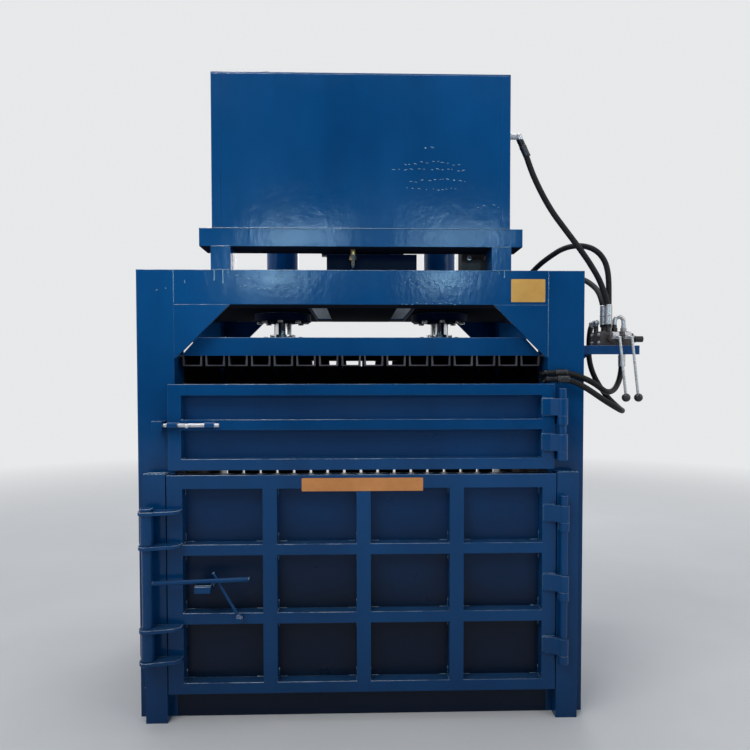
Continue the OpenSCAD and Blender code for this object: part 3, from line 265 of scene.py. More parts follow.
# a darker copy of the enamel for parts that sit in shade, with a stronger darkening towards the floor: painted shade
shade = dict(
    enamel, dark=(0.002, 0.05, 0.175), light=(0.003, 0.07, 0.235), dust=0.45, rough=(0.26, 0.42),
    footShade=(0.0013, 0.0075, 0.024), foot=(0.6, 1.4, 0.0, 1.0))
rust = ((0.022, 0.015, 0.014), (0.055, 0.034, 0.028))
primerGrey = ((0.3, 0.32, 0.33), (0.46, 0.48, 0.48))
postBlack = ((0.01, 0.01, 0.011), (0.02, 0.02, 0.022))
tankBlack = ((0.012, 0.012, 0.013), (0.02, 0.02, 0.02))
castBrown = ((0.045, 0.036, 0.035), (0.1, 0.082, 0.078))
millGrey = ((0.07, 0.072, 0.085), (0.13, 0.133, 0.15))
chamber = ((-0.7675, -0.52, 0.1), (0.7675, 0.4485, 1.6), *rust)  # walls are rusty inside this box
paints = {
    "blue_paint": enamel,
    "shade_paint": shade,
    # lighter than the enamel: a painted highlight on the weld beads
    "weld_paint": dict(
        enamel, dark=(0.012, 0.11, 0.28), light=(0.05, 0.22, 0.42), rough=(0.08, 0.14), coat=0.6, shine=0.7),
    # much lighter than the enamel: a painted highlight on the runs and sags
    "wet_paint_glint": dict(enamel, dark=(0.1, 0.32, 0.5), light=(0.3, 0.56, 0.74), rough=(0.08, 0.12), shine=0.7),
    # a darker copy for the parts under the tank that sit in shadow: painted shade
    "dark_paint": dict(
        shade, dark=(0.001, 0.014, 0.06), light=(0.0015, 0.022, 0.09), rough=(0.45, 0.6), shine=0.1),
    "chamber_paint": dict(enamel, zones=[chamber]),
    "chamber_shade": dict(shade, zones=[chamber]),
    "beam_primer": dict(enamel, rough=(0.4, 0.55), zones=[((-0.7, 0.372, 1.72), (0.7, 0.388, 1.84), *primerGrey)]),
}
looks = {name: paintMaterial(name, values) for name, values in paints.items()}
metals = {
    "grey_primer": dict(
        dark=(0.16, 0.19, 0.22), light=(0.3, 0.34, 0.38), edge=(0.42, 0.45, 0.48), patch=6,
        round=0.002, metal=0.15, grain=40, rough=(0.42, 0.62), bump=0.15),
    "bare_steel": dict(
        dark=(0.46, 0.46, 0.47), light=(0.64, 0.64, 0.65), edge=(0.85, 0.85, 0.85), patch=9,
        round=0.0012, metal=0.6, grain=60, rough=(0.22, 0.34), bump=0.05,
        zones=[  # elbows at the right post, elbow at the tank, adapters on the valve
            ((0.74, -0.62, 1.36), (0.8, -0.48, 1.45), *postBlack),
            ((0.63, -0.52, 2.3), (0.7, -0.43, 2.386), *tankBlack),
            ((1.0, -0.5, 1.585), (1.09, -0.36, 1.622), *castBrown)]),
    "rod_chrome": dict(
        dark=(0.5, 0.52, 0.54), light=(0.66, 0.68, 0.7), edge=(0.8, 0.8, 0.8), patch=5,
        round=0.001, metal=1.0, grain=120, stretch=(1, 1, 0.05), rough=(0.08, 0.18), bump=0.04),
    "cast_valve": dict(
        dark=castBrown[0], light=castBrown[1], edge=(0.2, 0.18, 0.17), patch=30,
        round=0.002, metal=0.35, grain=160, rough=(0.4, 0.6), bump=0.3),
    "brass": dict(
        dark=(0.42, 0.3, 0.12), light=(0.62, 0.47, 0.22), edge=(0.8, 0.66, 0.4), patch=25,
        round=0.001, metal=0.95, grain=80, rough=(0.22, 0.4), bump=0.1),
    "black_rubber": dict(
        dark=(0.008, 0.008, 0.009), light=(0.018, 0.018, 0.02), edge=(0.03, 0.03, 0.03), patch=14,
        round=0.001, metal=0.0, grain=260, rough=(0.4, 0.6), bump=0.12, shine=0.18),
    "black_plastic": dict(
        dark=(0.009, 0.009, 0.01), light=(0.02, 0.02, 0.022), edge=(0.05, 0.05, 0.05), patch=20,
        round=0.001, metal=0.0, grain=200, rough=(0.2, 0.34), bump=0.05),
    "alloy": dict(
        dark=(0.3, 0.31, 0.32), light=(0.5, 0.51, 0.52), edge=(0.65, 0.65, 0.66), patch=16,
        round=0.0015, metal=0.8, grain=110, rough=(0.35, 0.55), bump=0.25),
    "channel_ends": dict(  # the cut front ends are bare, the rest is near black
        dark=(0.008, 0.008, 0.01), light=(0.016, 0.016, 0.019), edge=(0.02, 0.02, 0.022), patch=6,
        round=0.0025, metal=0.1, grain=40, rough=(0.85, 0.98), bump=0.15, shine=0.05,
        zones=[((-0.8, -0.482, 1.44), (0.8, -0.4785, 1.495), *millGrey)]),
    "bolt_steel": dict(
        dark=(0.6, 0.61, 0.63), light=(0.82, 0.83, 0.85), edge=(0.9, 0.9, 0.9), patch=30,
        round=0.001, metal=0.3, grain=90, stretch=(0.2, 1, 1), rough=(0.14, 0.26), bump=0.08),
}
looks.update({name: metalMaterial(name, **values) for name, values in metals.items()})
ownLooks = {
    "door_bolt": "bolt_steel", "rear_top_beam": "beam_primer", "platen_channels": "channel_ends",
    "left_side_wall": "chamber_paint", "right_side_wall": "chamber_paint",
    "rear_wall": "chamber_shade", "floor_grid": "chamber_shade",
    "centre_tie": "dark_paint", "motor_stand": "dark_paint",
    "deck_plates": "dark_paint", "cylinder_glands": "dark_paint",
}
for item in frame["record"]["subparts"]:
    owner = nodes[item["node"]]
    owner.data.materials.clear()
    owner.data.materials.append(looks[ownLooks.get(item["node"], item["material_slot"])])
print("materials made")


hoseDiameter = 0.024
hoseRoutes = {  # millimetres, as in part.scad
    "return_hose": [
        (668, -475, 2362), (677, -475, 2342), (690, -475, 2306), (703, -475, 2270), (717, -475, 2236),
        (739, -475, 2190), (767, -475, 2138), (801, -475, 2084), (840, -475, 2032), (882, -475, 1978),
        (924, -475, 1923), (962, -475, 1868), (996, -475, 1810), (1022, -475, 1745), (1036, -475, 1690),
        (1036, -475, 1655)],
    "rear_hose": [
        (640, -140, 1786), (655, -140, 1786), (673, -142, 1788), (698, -148, 1796), (721, -159, 1811),
        (745, -184, 1839), (771, -214, 1869), (812, -258, 1914), (864, -306, 1953), (895, -329, 1968),
        (926, -347, 1974), (963, -364, 1972), (999, -378, 1959), (1030, -387, 1934), (1051, -394, 1899),
        (1061, -399, 1860), (1065, -402, 1819), (1066, -404, 1760), (1066, -405, 1696), (1066, -405, 1655)],
    "side_hose": [
        (640, 100, 1868), (662, 100, 1868), (690, 95, 1871), (719, 84, 1876), (753, 62, 1882),
        (785, 37, 1888), (843, -21, 1896), (898, -82, 1894), (924, -113, 1889), (948, -146, 1881),
        (969, -180, 1871), (987, -215, 1859), (1001, -250, 1845), (1013, -286, 1829), (1022, -321, 1809),
        (1028, -356, 1787), (1030, -388, 1762), (1030, -415, 1732), (1030, -433, 1700),
        (1030, -440, 1676), (1030, -440, 1655)],
    "feed_hose": [
        (1016, -378, 1634), (1019, -356, 1634), (1024, -322, 1630), (1029, -290, 1616),
        (1036, -257, 1584), (1041, -239, 1541), (1042, -238, 1495), (1044, -254, 1451),
        (1050, -277, 1410), (1060, -302, 1373), (1074, -329, 1337), (1090, -358, 1304),
        (1104, -395, 1278), (1107, -438, 1262), (1097, -483, 1258), (1073, -523, 1263),
        (1039, -551, 1277), (1000, -565, 1298), (960, -571, 1323), (921, -575, 1348), (881, -576, 1371),
        (843, -575, 1386), (814, -575, 1391), (790, -575, 1391)],
    "under_hose": [
        (790, -547, 1417), (826, -547, 1417), (863, -547, 1411), (897, -547, 1400), (931, -545, 1386),
        (962, -537, 1370), (991, -522, 1353), (1018, -502, 1340), (1046, -478, 1338), (1072, -454, 1346),
        (1094, -432, 1364), (1112, -414, 1391), (1123, -403, 1424), (1127, -400, 1460),
        (1127, -400, 1496)],
}


def smoothRoute(points, steps):  # a smooth line through the points, ends included
    p = [Vector(c) / 1000 for c in points]
    p = [p[0] * 2 - p[1]] + p + [p[-1] * 2 - p[-2]]
    line = []
    for i in range(1, len(p) - 2):
        a, b, c, d = p[i - 1:i + 3]
        second = 2 * a - 5 * b + 4 * c - d
        third = 3 * b - a - 3 * c + d
        for k in range(steps):
            t = k / steps
            line.append(0.5 * (2 * b + (c - a) * t + second * t * t + third * t ** 3))
    line.append(p[-2])
    return line


def addMesh(name, points, faces, look, body="frame", smooth=True):
    mesh = bpy.data.meshes.new(name)
    mesh.from_pydata([tuple(p) for p in points], [], faces)
    mesh.update()
    if smooth:
        mesh.polygons.foreach_set("use_smooth", [True] * len(faces))
    piece = bpy.data.objects.new(name, mesh)
    bpy.context.scene.collection.objects.link(piece)
    mesh.materials.append(looks[look])
    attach(piece, body)
    return piece


def sweep(line, radii, sides, points, faces):  # adds a closed tube along the line, with a radius at each point
    start = len(points)
    ahead = (line[1] - line[0]).normalized()
    across = ahead.orthogonal().normalized()
    for i, centre in enumerate(line):
        a = line[max(i - 1, 0)]
        b = line[min(i + 1, len(line) - 1)]
        along = (b - a).normalized()
        across = (across - along * across.dot(along)).normalized()
        up = along.cross(across)
        for k in range(sides):
            turn = 2 * math.pi * k / sides
            points.append(centre + (across * math.cos(turn) + up * math.sin(turn)) * radii[i])
    for i in range(len(line) - 1):
        for k in range(sides):
            j = (k + 1) % sides
            r = start + i * sides
            faces.append((r + k, r + j, r + sides + j, r + sides + k))
    faces.append(tuple(start + k for k in reversed(range(sides))))
    last = start + (len(line) - 1) * sides
    faces.append(tuple(last + k for k in range(sides)))


rubber = {"steps": 5, "sides": 20}
ferrule = {  # a crimped sleeve, with grooves at some of its rings
    "length": 0.05, "radius": 0.0155, "sides": 24, "rings": 20, "groove": 0.0012, "grooved": range(5, 18, 2),
    "chamfer": 0.001, "blackBefore": 0.8}  # before this x, away from the valve, they are black
for hoseName, route in hoseRoutes.items():
    line = smoothRoute(route, rubber["steps"])
    points, faces = [], []
    sweep(line, [hoseDiameter / 2] * len(line), rubber["sides"], points, faces)
    hose = addMesh(hoseName + "_rubber", points, faces, "black_rubber")
    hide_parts(hoseName)
    for k, end in enumerate((line, line[::-1])):
        along = (end[1] - end[0]).normalized()
        count = ferrule["rings"]
        rings = [end[0] + along * ferrule["length"] * i / count for i in range(count + 1)]
        radii = [ferrule["radius"] - (ferrule["groove"] if i in ferrule["grooved"] else 0) for i in range(count + 1)]
        radii[0] = radii[-1] = ferrule["radius"] - ferrule["chamfer"]
        points, faces = [], []
        sweep(rings, radii, ferrule["sides"], points, faces)
        look = "black_plastic" if end[0].x < ferrule["blackBefore"] else "bare_steel"
        addMesh(f"{hoseName}_sleeve_{k}", points, faces, look)
print("hoses made")


def plate(name, low, high, look, body, corner=0.004):  # a thin plate facing the front, with rounded corners
    x0, y0, z0 = low
    x1, y1, z1 = high
    left, right = x0 + corner, x1 - corner
    bottom, top = z0 + corner, z1 - corner
    rim = []
    for cx, cz, first in ((right, top, 0), (left, top, 90), (left, bottom, 180), (right, bottom, 270)):
        for k in range(5):
            turn = math.radians(first + 22.5 * k)
            rim.append((cx + corner * math.cos(turn), cz + corner * math.sin(turn)))
    n = len(rim)
    points = [(x, y0, z) for x, z in rim] + [(x, y1, z) for x, z in rim]
    faces = [tuple(range(n)), tuple(reversed(range(n, 2 * n)))]
    faces += [(k, n + k, n + (k + 1) % n, (k + 1) % n) for k in range(n)]
    return addMesh(name, points, faces, look, body, smooth=False)


def stickerMaterial(name, dark, light):
    mat, tree, shader = newMaterial(name)
    tone = remap(tree, noise(tree, 9, 5, 0.6), 0.3, 0.7)
    tree.links.new(mixColour(tree, tone, dark, light), shader.inputs["Base Color"])
    tree.links.new(remap(tree, noise(tree, 40, 4, 0.6), 0.3, 0.7, 0.32, 0.5), shader.inputs["Roughness"])
    tree.links.new(bump(tree, noise(tree, 30, 3, 0.5), 0.08, 0.0006), shader.inputs["Normal"])
    return mat


looks["label_orange"] = stickerMaterial("label_orange", (0.58, 0.21, 0.05), (0.7, 0.29, 0.08))
looks["label_yellow"] = stickerMaterial("label_yellow", (0.66, 0.34, 0.05), (0.8, 0.45, 0.08))


# Lines of the frame that the beads, runs and bolts follow, in metres
frontY, rearY, postY = -0.53, 0.53, 0.38  # outer faces, and the inner faces of the posts
frameTop, beamZ, rearBeamZ, deckZ = 1.837, 1.697, 1.716, 1.728
chamberX, halfW = 0.766, 0.916
shelfZ, tankZ, tankTop = 1.932, 2.005, 2.629
tankX, tankHalf, tankBack = -0.002, 0.607, -0.375
doorY, skinY, jambY = -0.59, -0.536, -0.588
sides = (-1, 1)
bead = {"pitch": 0.015, "radius": 0.0048, "wobble": 0.0015, "narrow": 0.45, "sides": 8}


def welds(name, lines, body, size=1.0):  # rippled weld beads along straight lines
    points, faces = [], []
    for a, b in lines:
        a, b = Vector(a), Vector(b)
        count = max(4, int((b - a).length / bead["pitch"]) * 2)
        line, radii = [], []
        for i in range(count + 1):
            shift = Vector([random.uniform(-1, 1) for _ in range(3)])
            line.append(a.lerp(b, i / count) + shift * bead["wobble"] * 0.4)
            swell = bead["radius"] * (1.0 if i % 2 else bead["narrow"])
            radii.append((swell + random.uniform(-1, 1) * bead["wobble"] * 0.3) * size)
        radii[0] = radii[-1] = bead["radius"] * bead["narrow"] * size
        sweep(line, radii, bead["sides"], points, faces)
    return addMesh(name, points, faces, "weld_paint", body)


def upright(x, y, z0, z1):
    return ((x, y, z0), (x, y, z1))


def level(x0, x1, y, z):
    return ((x0, y, z), (x1, y, z))


def inward(x, y0, y1, z):
    return ((x, y0, z), (x, y1, z))


shelfPost = {"inner": 0.535, "outer": 0.611, "back": -0.4}
shelfPosts = [(tankX + s * shelfPost["inner"], tankX + s * shelfPost["outer"]) for s in sides]
welds("frame_welds", [
    upright(-chamberX, frontY, beamZ + 0.004, frameTop - 0.003),
    upright(chamberX, frontY, 1.482, frameTop - 0.003),
    *[upright(s * chamberX, rearY, 1.5, frameTop - 0.003) for s in sides],
    *[level(s * 0.755, s * 0.545, rearY, rearBeamZ) for s in sides],
    *[upright(s * halfW, -postY, beamZ + 0.003, frameTop - 0.003) for s in sides],
    *[upright(s * halfW, postY, beamZ + 0.003, frameTop - 0.003) for s in sides],
    *[level(s * 0.80, s * 0.90, frontY, 0.12) for s in sides],
], "frame", size=0.62)
tankLeft, tankRight = tankX - tankHalf, tankX + tankHalf
welds("tank_welds", [
    level(tankLeft + 0.004, tankRight - 0.004, frontY, tankZ),
    level(tankLeft + 0.004, tankRight - 0.004, tankBack, tankZ),
    *[inward(x, frontY, tankBack, tankZ) for x in (tankLeft, tankRight)],
    *[level(x0, x1, y, z) for y, z in (
        (frontY, frameTop), (shelfPost["back"], frameTop), (frontY, shelfZ)) for x0, x1 in shelfPosts],
], "frame", size=0.7)
welds("jamb_welds", [
    *[level(x0, x1, jambY + 0.002, 1.0145) for x0, x1 in ((-0.876, -0.793), (0.793, 0.876))],
    *[upright(s * 0.878, frontY, 0.14, 1.0) for s in sides],
], "frame", size=0.9)

rib = {"foot": 0.108, "height": 0.05, "step": 0.326, "count": 5, "inner": 0.774, "outer": 0.834}
ribTops = [rib["foot"] + rib["height"] + i * rib["step"] for i in range(rib["count"])]
ribEnds = [(s, y) for s in sides for y in (-postY, postY)]
welds("side_welds", [
    *[upright(s * rib["outer"], y, z - rib["height"], z) for s, y in ribEnds for z in ribTops],
    *[level(s * rib["inner"], s * (rib["outer"] - 0.004), y, z) for s, y in ribEnds for z in ribTops],
    *[inward(s * (rib["inner"] - 0.001), 0.01 - postY, postY - 0.01, z) for s in sides for z in ribTops[:-1]],
], "frame", size=0.8)
rearRails = ((0.134, 0.194), (0.758, 0.818), (1.336, 1.462))
welds("rear_welds", [
    *[upright(s * chamberX, rearY, z0, z1) for s in sides for z0, z1 in rearRails],
    *[level(s * 0.77, s * 0.9, rearY, 0.13) for s in sides],
], "frame", size=0.8)
welds("deck_welds", [
    *[level(s * 0.24, s * 0.76, y, deckZ) for s in sides for y in (-0.379, 0.379)],
    *[inward(s * 0.154, -0.37, 0.37, frameTop) for s in sides],
    *[level(-0.15, 0.15, y, frameTop) for y in (-postY, postY)],
    *[inward(s * 0.765, -0.37, 0.37, deckZ) for s in sides],
], "frame", size=0.8)

hinges = {  # edge of the door, feet of its leaves, and x of its pin with the face that carries the lugs
    "upper_door": {"edge": 0.778, "leaves": (1.103, 1.246), "lug": (0.802, frontY)},
    "lower_door": {"edge": 0.786, "leaves": (0.273, 0.532, 0.815), "lug": (0.812, jambY)},
}
leafHeight, leafReach, lugHeight, lugHalf = 0.068, (0.052, 0.004), 0.036, 0.014
lugs = [(*v["lug"], z - 0.0005) for v in hinges.values() for z in v["leaves"]]
welds("lug_welds", [line for x, y, top in lugs for line in (
    upright(x - lugHalf, y, top - lugHeight, top), upright(x + lugHalf, y, top - lugHeight, top),
    level(x - lugHalf, x + lugHalf, y, top - lugHeight))
], "frame", size=0.7)
for doorName, v in hinges.items():
    x0, x1 = (v["edge"] - reach for reach in leafReach)
    welds(doorName + "_leaf_welds", [line for z in v["leaves"] for line in (
        level(x0, x1, doorY, z), level(x0, x1, doorY, z + leafHeight), upright(x0, doorY, z, z + leafHeight))
    ], doorName, size=0.7)

cells = {  # openings of the lower door
    "left": -0.724, "right": 0.730, "bar": 0.057, "count": 4,
    "rows": ((0.165, 0.405), (0.450, 0.684), (0.728, 0.953)), "reach": 0.035}
cellWidth = (cells["right"] - cells["left"] - (cells["count"] - 1) * cells["bar"]) / cells["count"]
lines = []
for z0, z1 in cells["rows"]:
    for column in range(cells["count"]):
        x0 = cells["left"] + column * (cellWidth + cells["bar"])
        for x, dx in ((x0, 1), (x0 + cellWidth, -1)):
            for z, dz in ((z0, 1), (z1, -1)):  # short beads along both ways from each corner
                lines.append(level(x, x + dx * cells["reach"], skinY - 0.001, z))
                lines.append(upright(x, skinY - 0.001, z, z + dz * cells["reach"]))
welds("lower_door_welds", lines, "lower_door", size=0.6)
print("welds made")


drip = {"steps": 14, "neck": 0.55, "drop": 0.75, "start": 0.6, "sway": 0.0006, "sides": 8}
points, faces = [], []
for x, z, length, width in (  # drips of paint on the front beam: a narrow raised tail with a drop at its foot
        (-0.601, 1.836, 0.044, 0.0032), (-0.566, 1.836, 0.056, 0.0036), (-0.545, 1.836, 0.014, 0.002),
        (0.583, 1.836, 0.030, 0.003), (0.561, 1.836, 0.016, 0.0022), (-0.72, 1.795, 0.012, 0.002)):
    line, radii = [], []
    for i in range(drip["steps"] + 1):
        t = i / drip["steps"]
        line.append(Vector((x + random.uniform(-1, 1) * drip["sway"], frontY, z - length * t)))
        past = max(0, (t - drip["start"]) / (1 - drip["start"]))
        radii.append(width * (drip["neck"] + drip["drop"] * past ** 2))
    radii[0], radii[-1] = width * 0.3, width * 0.35
    sweep(line, radii, drip["sides"], points, faces)
addMesh("beam_runs", points, faces, "wet_paint_glint", "frame")

sag = {"points": 7, "radius": 0.0016, "arch": 0.0012, "tilt": 0.35, "scatter": 0.004, "sides": 6}


def ridges(name, rows):  # small sags in the wet paint, as short flattened arcs in rows on a front face
    points, faces = [], []
    shares = [k / (sag["points"] - 1) for k in range(sag["points"])]
    radii = [sag["radius"] * (0.25 + math.sin(math.pi * t)) for t in shares]
    for x0, x1, z, rise, gap, size in rows:
        x = x0
        while x < x1:
            length = random.uniform(0.4, 1.3) * size
            bow = rise * math.sin(math.pi * (x - x0) / (x1 - x0))
            middle = z + bow + random.uniform(-1, 1) * sag["scatter"]
            tilt = random.uniform(-sag["tilt"], sag["tilt"])
            sweep([Vector((
                x + length * t, frontY,
                middle + tilt * length * (t - 0.5) + sag["arch"] * math.sin(math.pi * t))) for t in shares],
                radii, sag["sides"], points, faces)
            x += length + random.uniform(0.3, 1.6) * gap
    return addMesh(name, points, faces, "wet_paint_glint", "frame")


ridges("tank_sags", [  # from x, to x, height, rise in the middle, gap, size
    (0.17, 0.39, 2.262, 0.012, 0.012, 0.014), (0.12, 0.41, 2.24, 0.004, 0.014, 0.014),
    (0.19, 0.43, 2.192, 0.012, 0.012, 0.012), (0.18, 0.40, 2.172, -0.008, 0.016, 0.010),
    (0.25, 0.31, 2.33, 0.0, 0.02, 0.016), (0.47, 0.57, 2.09, 0.01, 0.02, 0.012),
])
ridges("beam_sags", [
    (-0.5, -0.22, 1.772, -0.012, 0.01, 0.012), (-0.47, -0.25, 1.803, 0.006, 0.02, 0.014),
    (-0.52, -0.48, 1.81, 0.0, 0.01, 0.016), (-0.24, -0.21, 1.8, 0.0, 0.01, 0.016),
    (-0.84, -0.79, 1.75, 0.02, 0.02, 0.01),
    (0.17, 0.42, 1.785, -0.02, 0.014, 0.012), (0.19, 0.38, 1.80, -0.012, 0.018, 0.012),
    (0.16, 0.42, 1.7, 0.0, 0.014, 0.01),
])

strip = {"width": 0.035, "proud": 0.0012, "inset": 0.0185, "foot": 0.004, "head": 0.006}
for side, s in (("left", -1), ("right", 1)):  # folded corner strips of the tank
    x = tankX + s * (tankHalf - strip["inset"])
    plate(
        f"tank_strip_{side}",
        (x - strip["width"] / 2, frontY - strip["proud"], tankZ + strip["foot"]),
        (x + strip["width"] / 2, frontY, tankTop - strip["head"]), "blue_paint", "frame", 0.001)

boltShape = (  # sides, then how far out and how wide each ring is, as shares of the width across the flats
    (20, ((0.0, 0.78), (0.1, 0.78), (0.12, 0.74))),  # washer
    (6, ((0.1, 0.577), (0.5, 0.577), (0.62, 0.5))),  # head
)


def bolts(name, spots, across, body="frame"):  # hexagon heads on washers, each at a point with the way it faces
    points, faces = [], []
    for at, way in spots:
        at, way = Vector(at), Vector(way).normalized()
        first = way.orthogonal().normalized()
        second = way.cross(first)
        turn = random.uniform(0, math.pi / 3)
        for n, rings in boltShape:
            start = len(points)
            for out, reach in rings:
                for k in range(n):
                    a = turn + 2 * math.pi * k / n
                    spoke = first * math.cos(a) + second * math.sin(a)
                    points.append(at + (way * out + spoke * reach) * across)
            for low in range(start, start + (len(rings) - 1) * n, n):
                faces += [(low + k, low + (k + 1) % n, low + n + (k + 1) % n, low + n + k) for k in range(n)]
            faces.append(tuple(start + k for k in reversed(range(n))))
            faces.append(tuple(start + (len(rings) - 1) * n + k for k in range(n)))
    return addMesh(name, points, faces, "bare_steel", body, smooth=False)


def circleOf(x, y, z, radius, count, first=0.0):  # spots on a circle, facing up
    spots = []
    for k in range(count):
        a = first + 2 * math.pi * k / count
        spots.append(((x + radius * math.cos(a), y + radius * math.sin(a), z), (0, 0, 1)))
    return spots


motorY, motorZ, fanX, fanCircle = -0.225, 2.054, -0.12, 0.108
fanTurns = (0.785, 2.356, 3.927, 5.498)
bolts("valve_tie_nuts", [
    *[((1.0, y, z), (-1, 0, 0)) for y in (-0.474, -0.396) for z in (1.545, 1.579)],
    *[((1.145, y, z), (1, 0, 0)) for y in (-0.465, -0.405) for z in (1.543, 1.574)],
    *[((x, -0.376, 1.564), (0, 1, 0)) for x in (1.047, 1.098)],
], 0.011)
bolts("motor_bolts", [
    *[((x, motorY + s * 0.094, 1.978), (0, 0, 1)) for x in (-0.055, 0.135) for s in sides],
    *[((fanX, motorY + fanCircle * math.cos(a), motorZ + fanCircle * math.sin(a)), (0, math.cos(a), math.sin(a)))
      for a in fanTurns],
], 0.012)
bolts("terminal_screws", [((x, y, 2.206), (0, 0, 1)) for x in (-0.01, 0.09) for y in (-0.27, -0.18)], 0.008)
bolts("pump_bolts", [((0.402, motorY + s * 0.034, z), (1, 0, 0)) for s in sides for z in (2.008, 2.078)], 0.013)
bolts("block_bolts", [((x, y, 1.742), (0, 0, 1)) for x in (0.4238, 0.5802) for y in (-0.361, -0.281)], 0.0095)
for side, s in (("left", -1), ("right", 1)):
    ram = (s * 0.38, -0.02)
    bolts(side + "_cap_bolts", circleOf(*ram, 2.688, 0.066, 8), 0.016)
    bolts(side + "_flange_bolts", circleOf(*ram, 1.75, 0.0862, 8, 0.39), 0.0115)
    bolts(side + "_foot_bolts", circleOf(*ram, 1.585, 0.084, 6), 0.018, "platen")

knob = {"radius": 0.0175, "least": 0.0005, "sides": 24, "turns": range(-84, 91, 12)}
leverTip = Vector((0.12, -0.17, -0.978)) * 0.262  # from the hub, as in part.scad
for name, x in (("left_lever", 1.047), ("right_lever", 1.098)):
    centre = Vector((x, -0.522, 1.572)) + leverTip
    along = leverTip.normalized()
    points, faces = [], []
    line = [centre + along * knob["radius"] * math.sin(math.radians(a)) for a in knob["turns"]]
    radii = [max(knob["least"], knob["radius"] * math.cos(math.radians(a))) for a in knob["turns"]]
    sweep(line, radii, knob["sides"], points, faces)
    addMesh(name + "_knob", points, faces, "black_plastic", name)
print("details made")


def areaLight(name, at, aim, size, power, mirrored=True, diffuse=True, tint=(1, 1, 1)):
    data = bpy.data.lights.new(name, "AREA")
    data.shape = "RECTANGLE"
    data.size, data.size_y = size
    data.energy = power
    data.color = tint
    lamp = bpy.data.objects.new(name, data)
    bpy.context.scene.collection.objects.link(lamp)
    lamp.location = at
    lamp.rotation_euler = (Vector(aim) - Vector(at)).to_track_quat("-Z", "Y").to_euler()
    lamp.visible_glossy = mirrored
    lamp.visible_diffuse = diffuse


areaLight("key_light", (-2.6, -3.6, 5.2), (0, 0, 1.8), (3.2, 2.2), 125, mirrored=False)
areaLight("fill_light", (4.0, -3.6, 3.4), (0, 0, 1.6), (2.6, 3.0), 40)
areaLight("top_light", (0, 0.2, 5.6), (0, 0, 1), (4.5, 2.5), 90)
areaLight("back_light", (1.2, 4.6, 3.4), (0, 0, 1.6), (3.5, 2.2), 80)
# each aims at the spot where the front plane mirrors it into the camera
panel = {"y": -8, "tint": (0.45, 0.78, 1.0), "eye": 1.4, "shareX": 0.26, "shareZ": 0.263}
for name, x, z, size, power in (  # lamps behind the camera, for soft patches on the beams
        ("beam_left", -1.33, 2.96, (0.95, 0.15), 29), ("beam_right", 1.35, 2.96, (0.65, 0.15), 20),
        ("shelf_left", -0.9, 3.55, (1.3, 0.17), 34), ("shelf_right", 1.5, 3.55, (1.4, 0.17), 34)):
    aim = (x * panel["shareX"], frontY, panel["eye"] + (z - panel["eye"]) * panel["shareZ"])
    areaLight(name, (x, panel["y"], z), aim, size, power, diffuse=False, tint=panel["tint"])
areaLight("edge_strip", (-0.9, -0.85, 5.2), (-0.7, -0.6, 1.4), (2.6, 0.5), 60, diffuse=False)


def addSheet(name, corners, mat):  # a single flat sheet that isn't part of the machine
    sheet = bpy.data.objects.new(name, bpy.data.meshes.new(name))
    bpy.context.scene.collection.objects.link(sheet)
    sheet.data.from_pydata(corners, [], [(0, 1, 2, 3)])
    sheet.data.materials.append(mat)
    return sheet


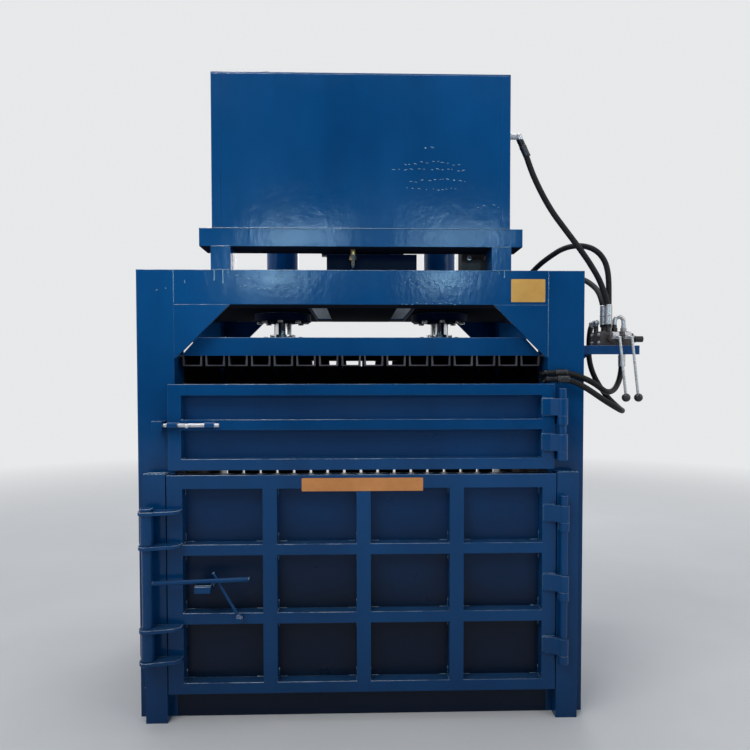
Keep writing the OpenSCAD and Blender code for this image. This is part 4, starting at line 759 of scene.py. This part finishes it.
backdrop = (0.80, 0.81, 0.82, 1)
ground = {
    "reach": 30, "dark": (0.64, 0.635, 0.63), "light": (0.69, 0.685, 0.68),
    "rough": 0.75, "shine": 0.2, "fade": (2.2, 9.0)}  # it fades into the backdrop between these distances
mat, tree, shader = newMaterial("floor_grey")
tone = remap(tree, noise(tree, 0.9, 5, 0.6), 0.3, 0.7)
tree.links.new(mixColour(tree, tone, ground["dark"], ground["light"]), shader.inputs["Base Color"])
shader.inputs["Roughness"].default_value = ground["rough"]
shader.inputs["Specular IOR Level"].default_value = ground["shine"]
haze = addNode(tree, "ShaderNodeEmission", Color=backdrop, Strength=1.0)
ray = addNode(tree, "ShaderNodeLightPath")
span = addNode(tree, "ShaderNodeVectorMath", operation="LENGTH")
tree.links.new(objectPoint(tree), span.inputs[0])
seenRay = maths(tree, "MAXIMUM", ray.outputs["Is Camera Ray"], ray.outputs["Is Glossy Ray"])
far = product(tree, remap(tree, span.outputs["Value"], *ground["fade"]), seenRay)
fade = addNode(tree, "ShaderNodeMixShader")
for socket, source in zip(fade.inputs, (far, shader.outputs[0], haze.outputs[0])):
    tree.links.new(source, socket)
tree.links.new(fade.outputs[0], tree.nodes["Material Output"].inputs["Surface"])
r = ground["reach"]
floor = addSheet("floor", [(-r, -r, 0), (r, -r, 0), (r, r, 0), (-r, r, 0)], mat)

mat, tree, shader = newMaterial("dark_card")
shader.inputs["Base Color"].default_value = (0.03, 0.035, 0.045, 1)
shader.inputs["Roughness"].default_value = 0.9
# only darkens what the paint mirrors
card = addSheet("dark_card", [(-6, -8.6, 0.3), (6, -8.6, 0.3), (6, -8.6, 6.5), (-6, -8.6, 6.5)], mat)
card.visible_camera = card.visible_diffuse = card.visible_shadow = False

world = bpy.data.worlds.new("studio")
bpy.context.scene.world = world
world.use_nodes = True
tree = world.node_tree
tree.nodes.clear()
ray = addNode(tree, "ShaderNodeLightPath")
lit = addNode(tree, "ShaderNodeBackground", Color=(0.62, 0.72, 0.85, 1), Strength=0.42)
seen = addNode(tree, "ShaderNodeBackground", Color=backdrop, Strength=1.0)
direct = maths(tree, "MAXIMUM", ray.outputs["Is Camera Ray"], ray.outputs["Is Glossy Ray"])
direct = maths(tree, "MAXIMUM", direct, ray.outputs["Is Transmission Ray"])
blend = addNode(tree, "ShaderNodeMixShader")
for socket, source in zip(blend.inputs, (direct, lit.outputs[0], seen.outputs[0])):
    tree.links.new(source, socket)
tree.links.new(blend.outputs[0], addNode(tree, "ShaderNodeOutputWorld").inputs[0])

scene = bpy.context.scene
scene.view_settings.view_transform = "Standard"
scene.view_settings.look = "None"
print("light and floor made")

plate("front_label", (0.611, -0.5322, 1.708), (0.752, frontY, 1.802), "label_yellow", "frame")
plate("door_label", (-0.246, -0.5922, 0.942), (0.243, doorY, 0.995), "label_orange", "lower_door")
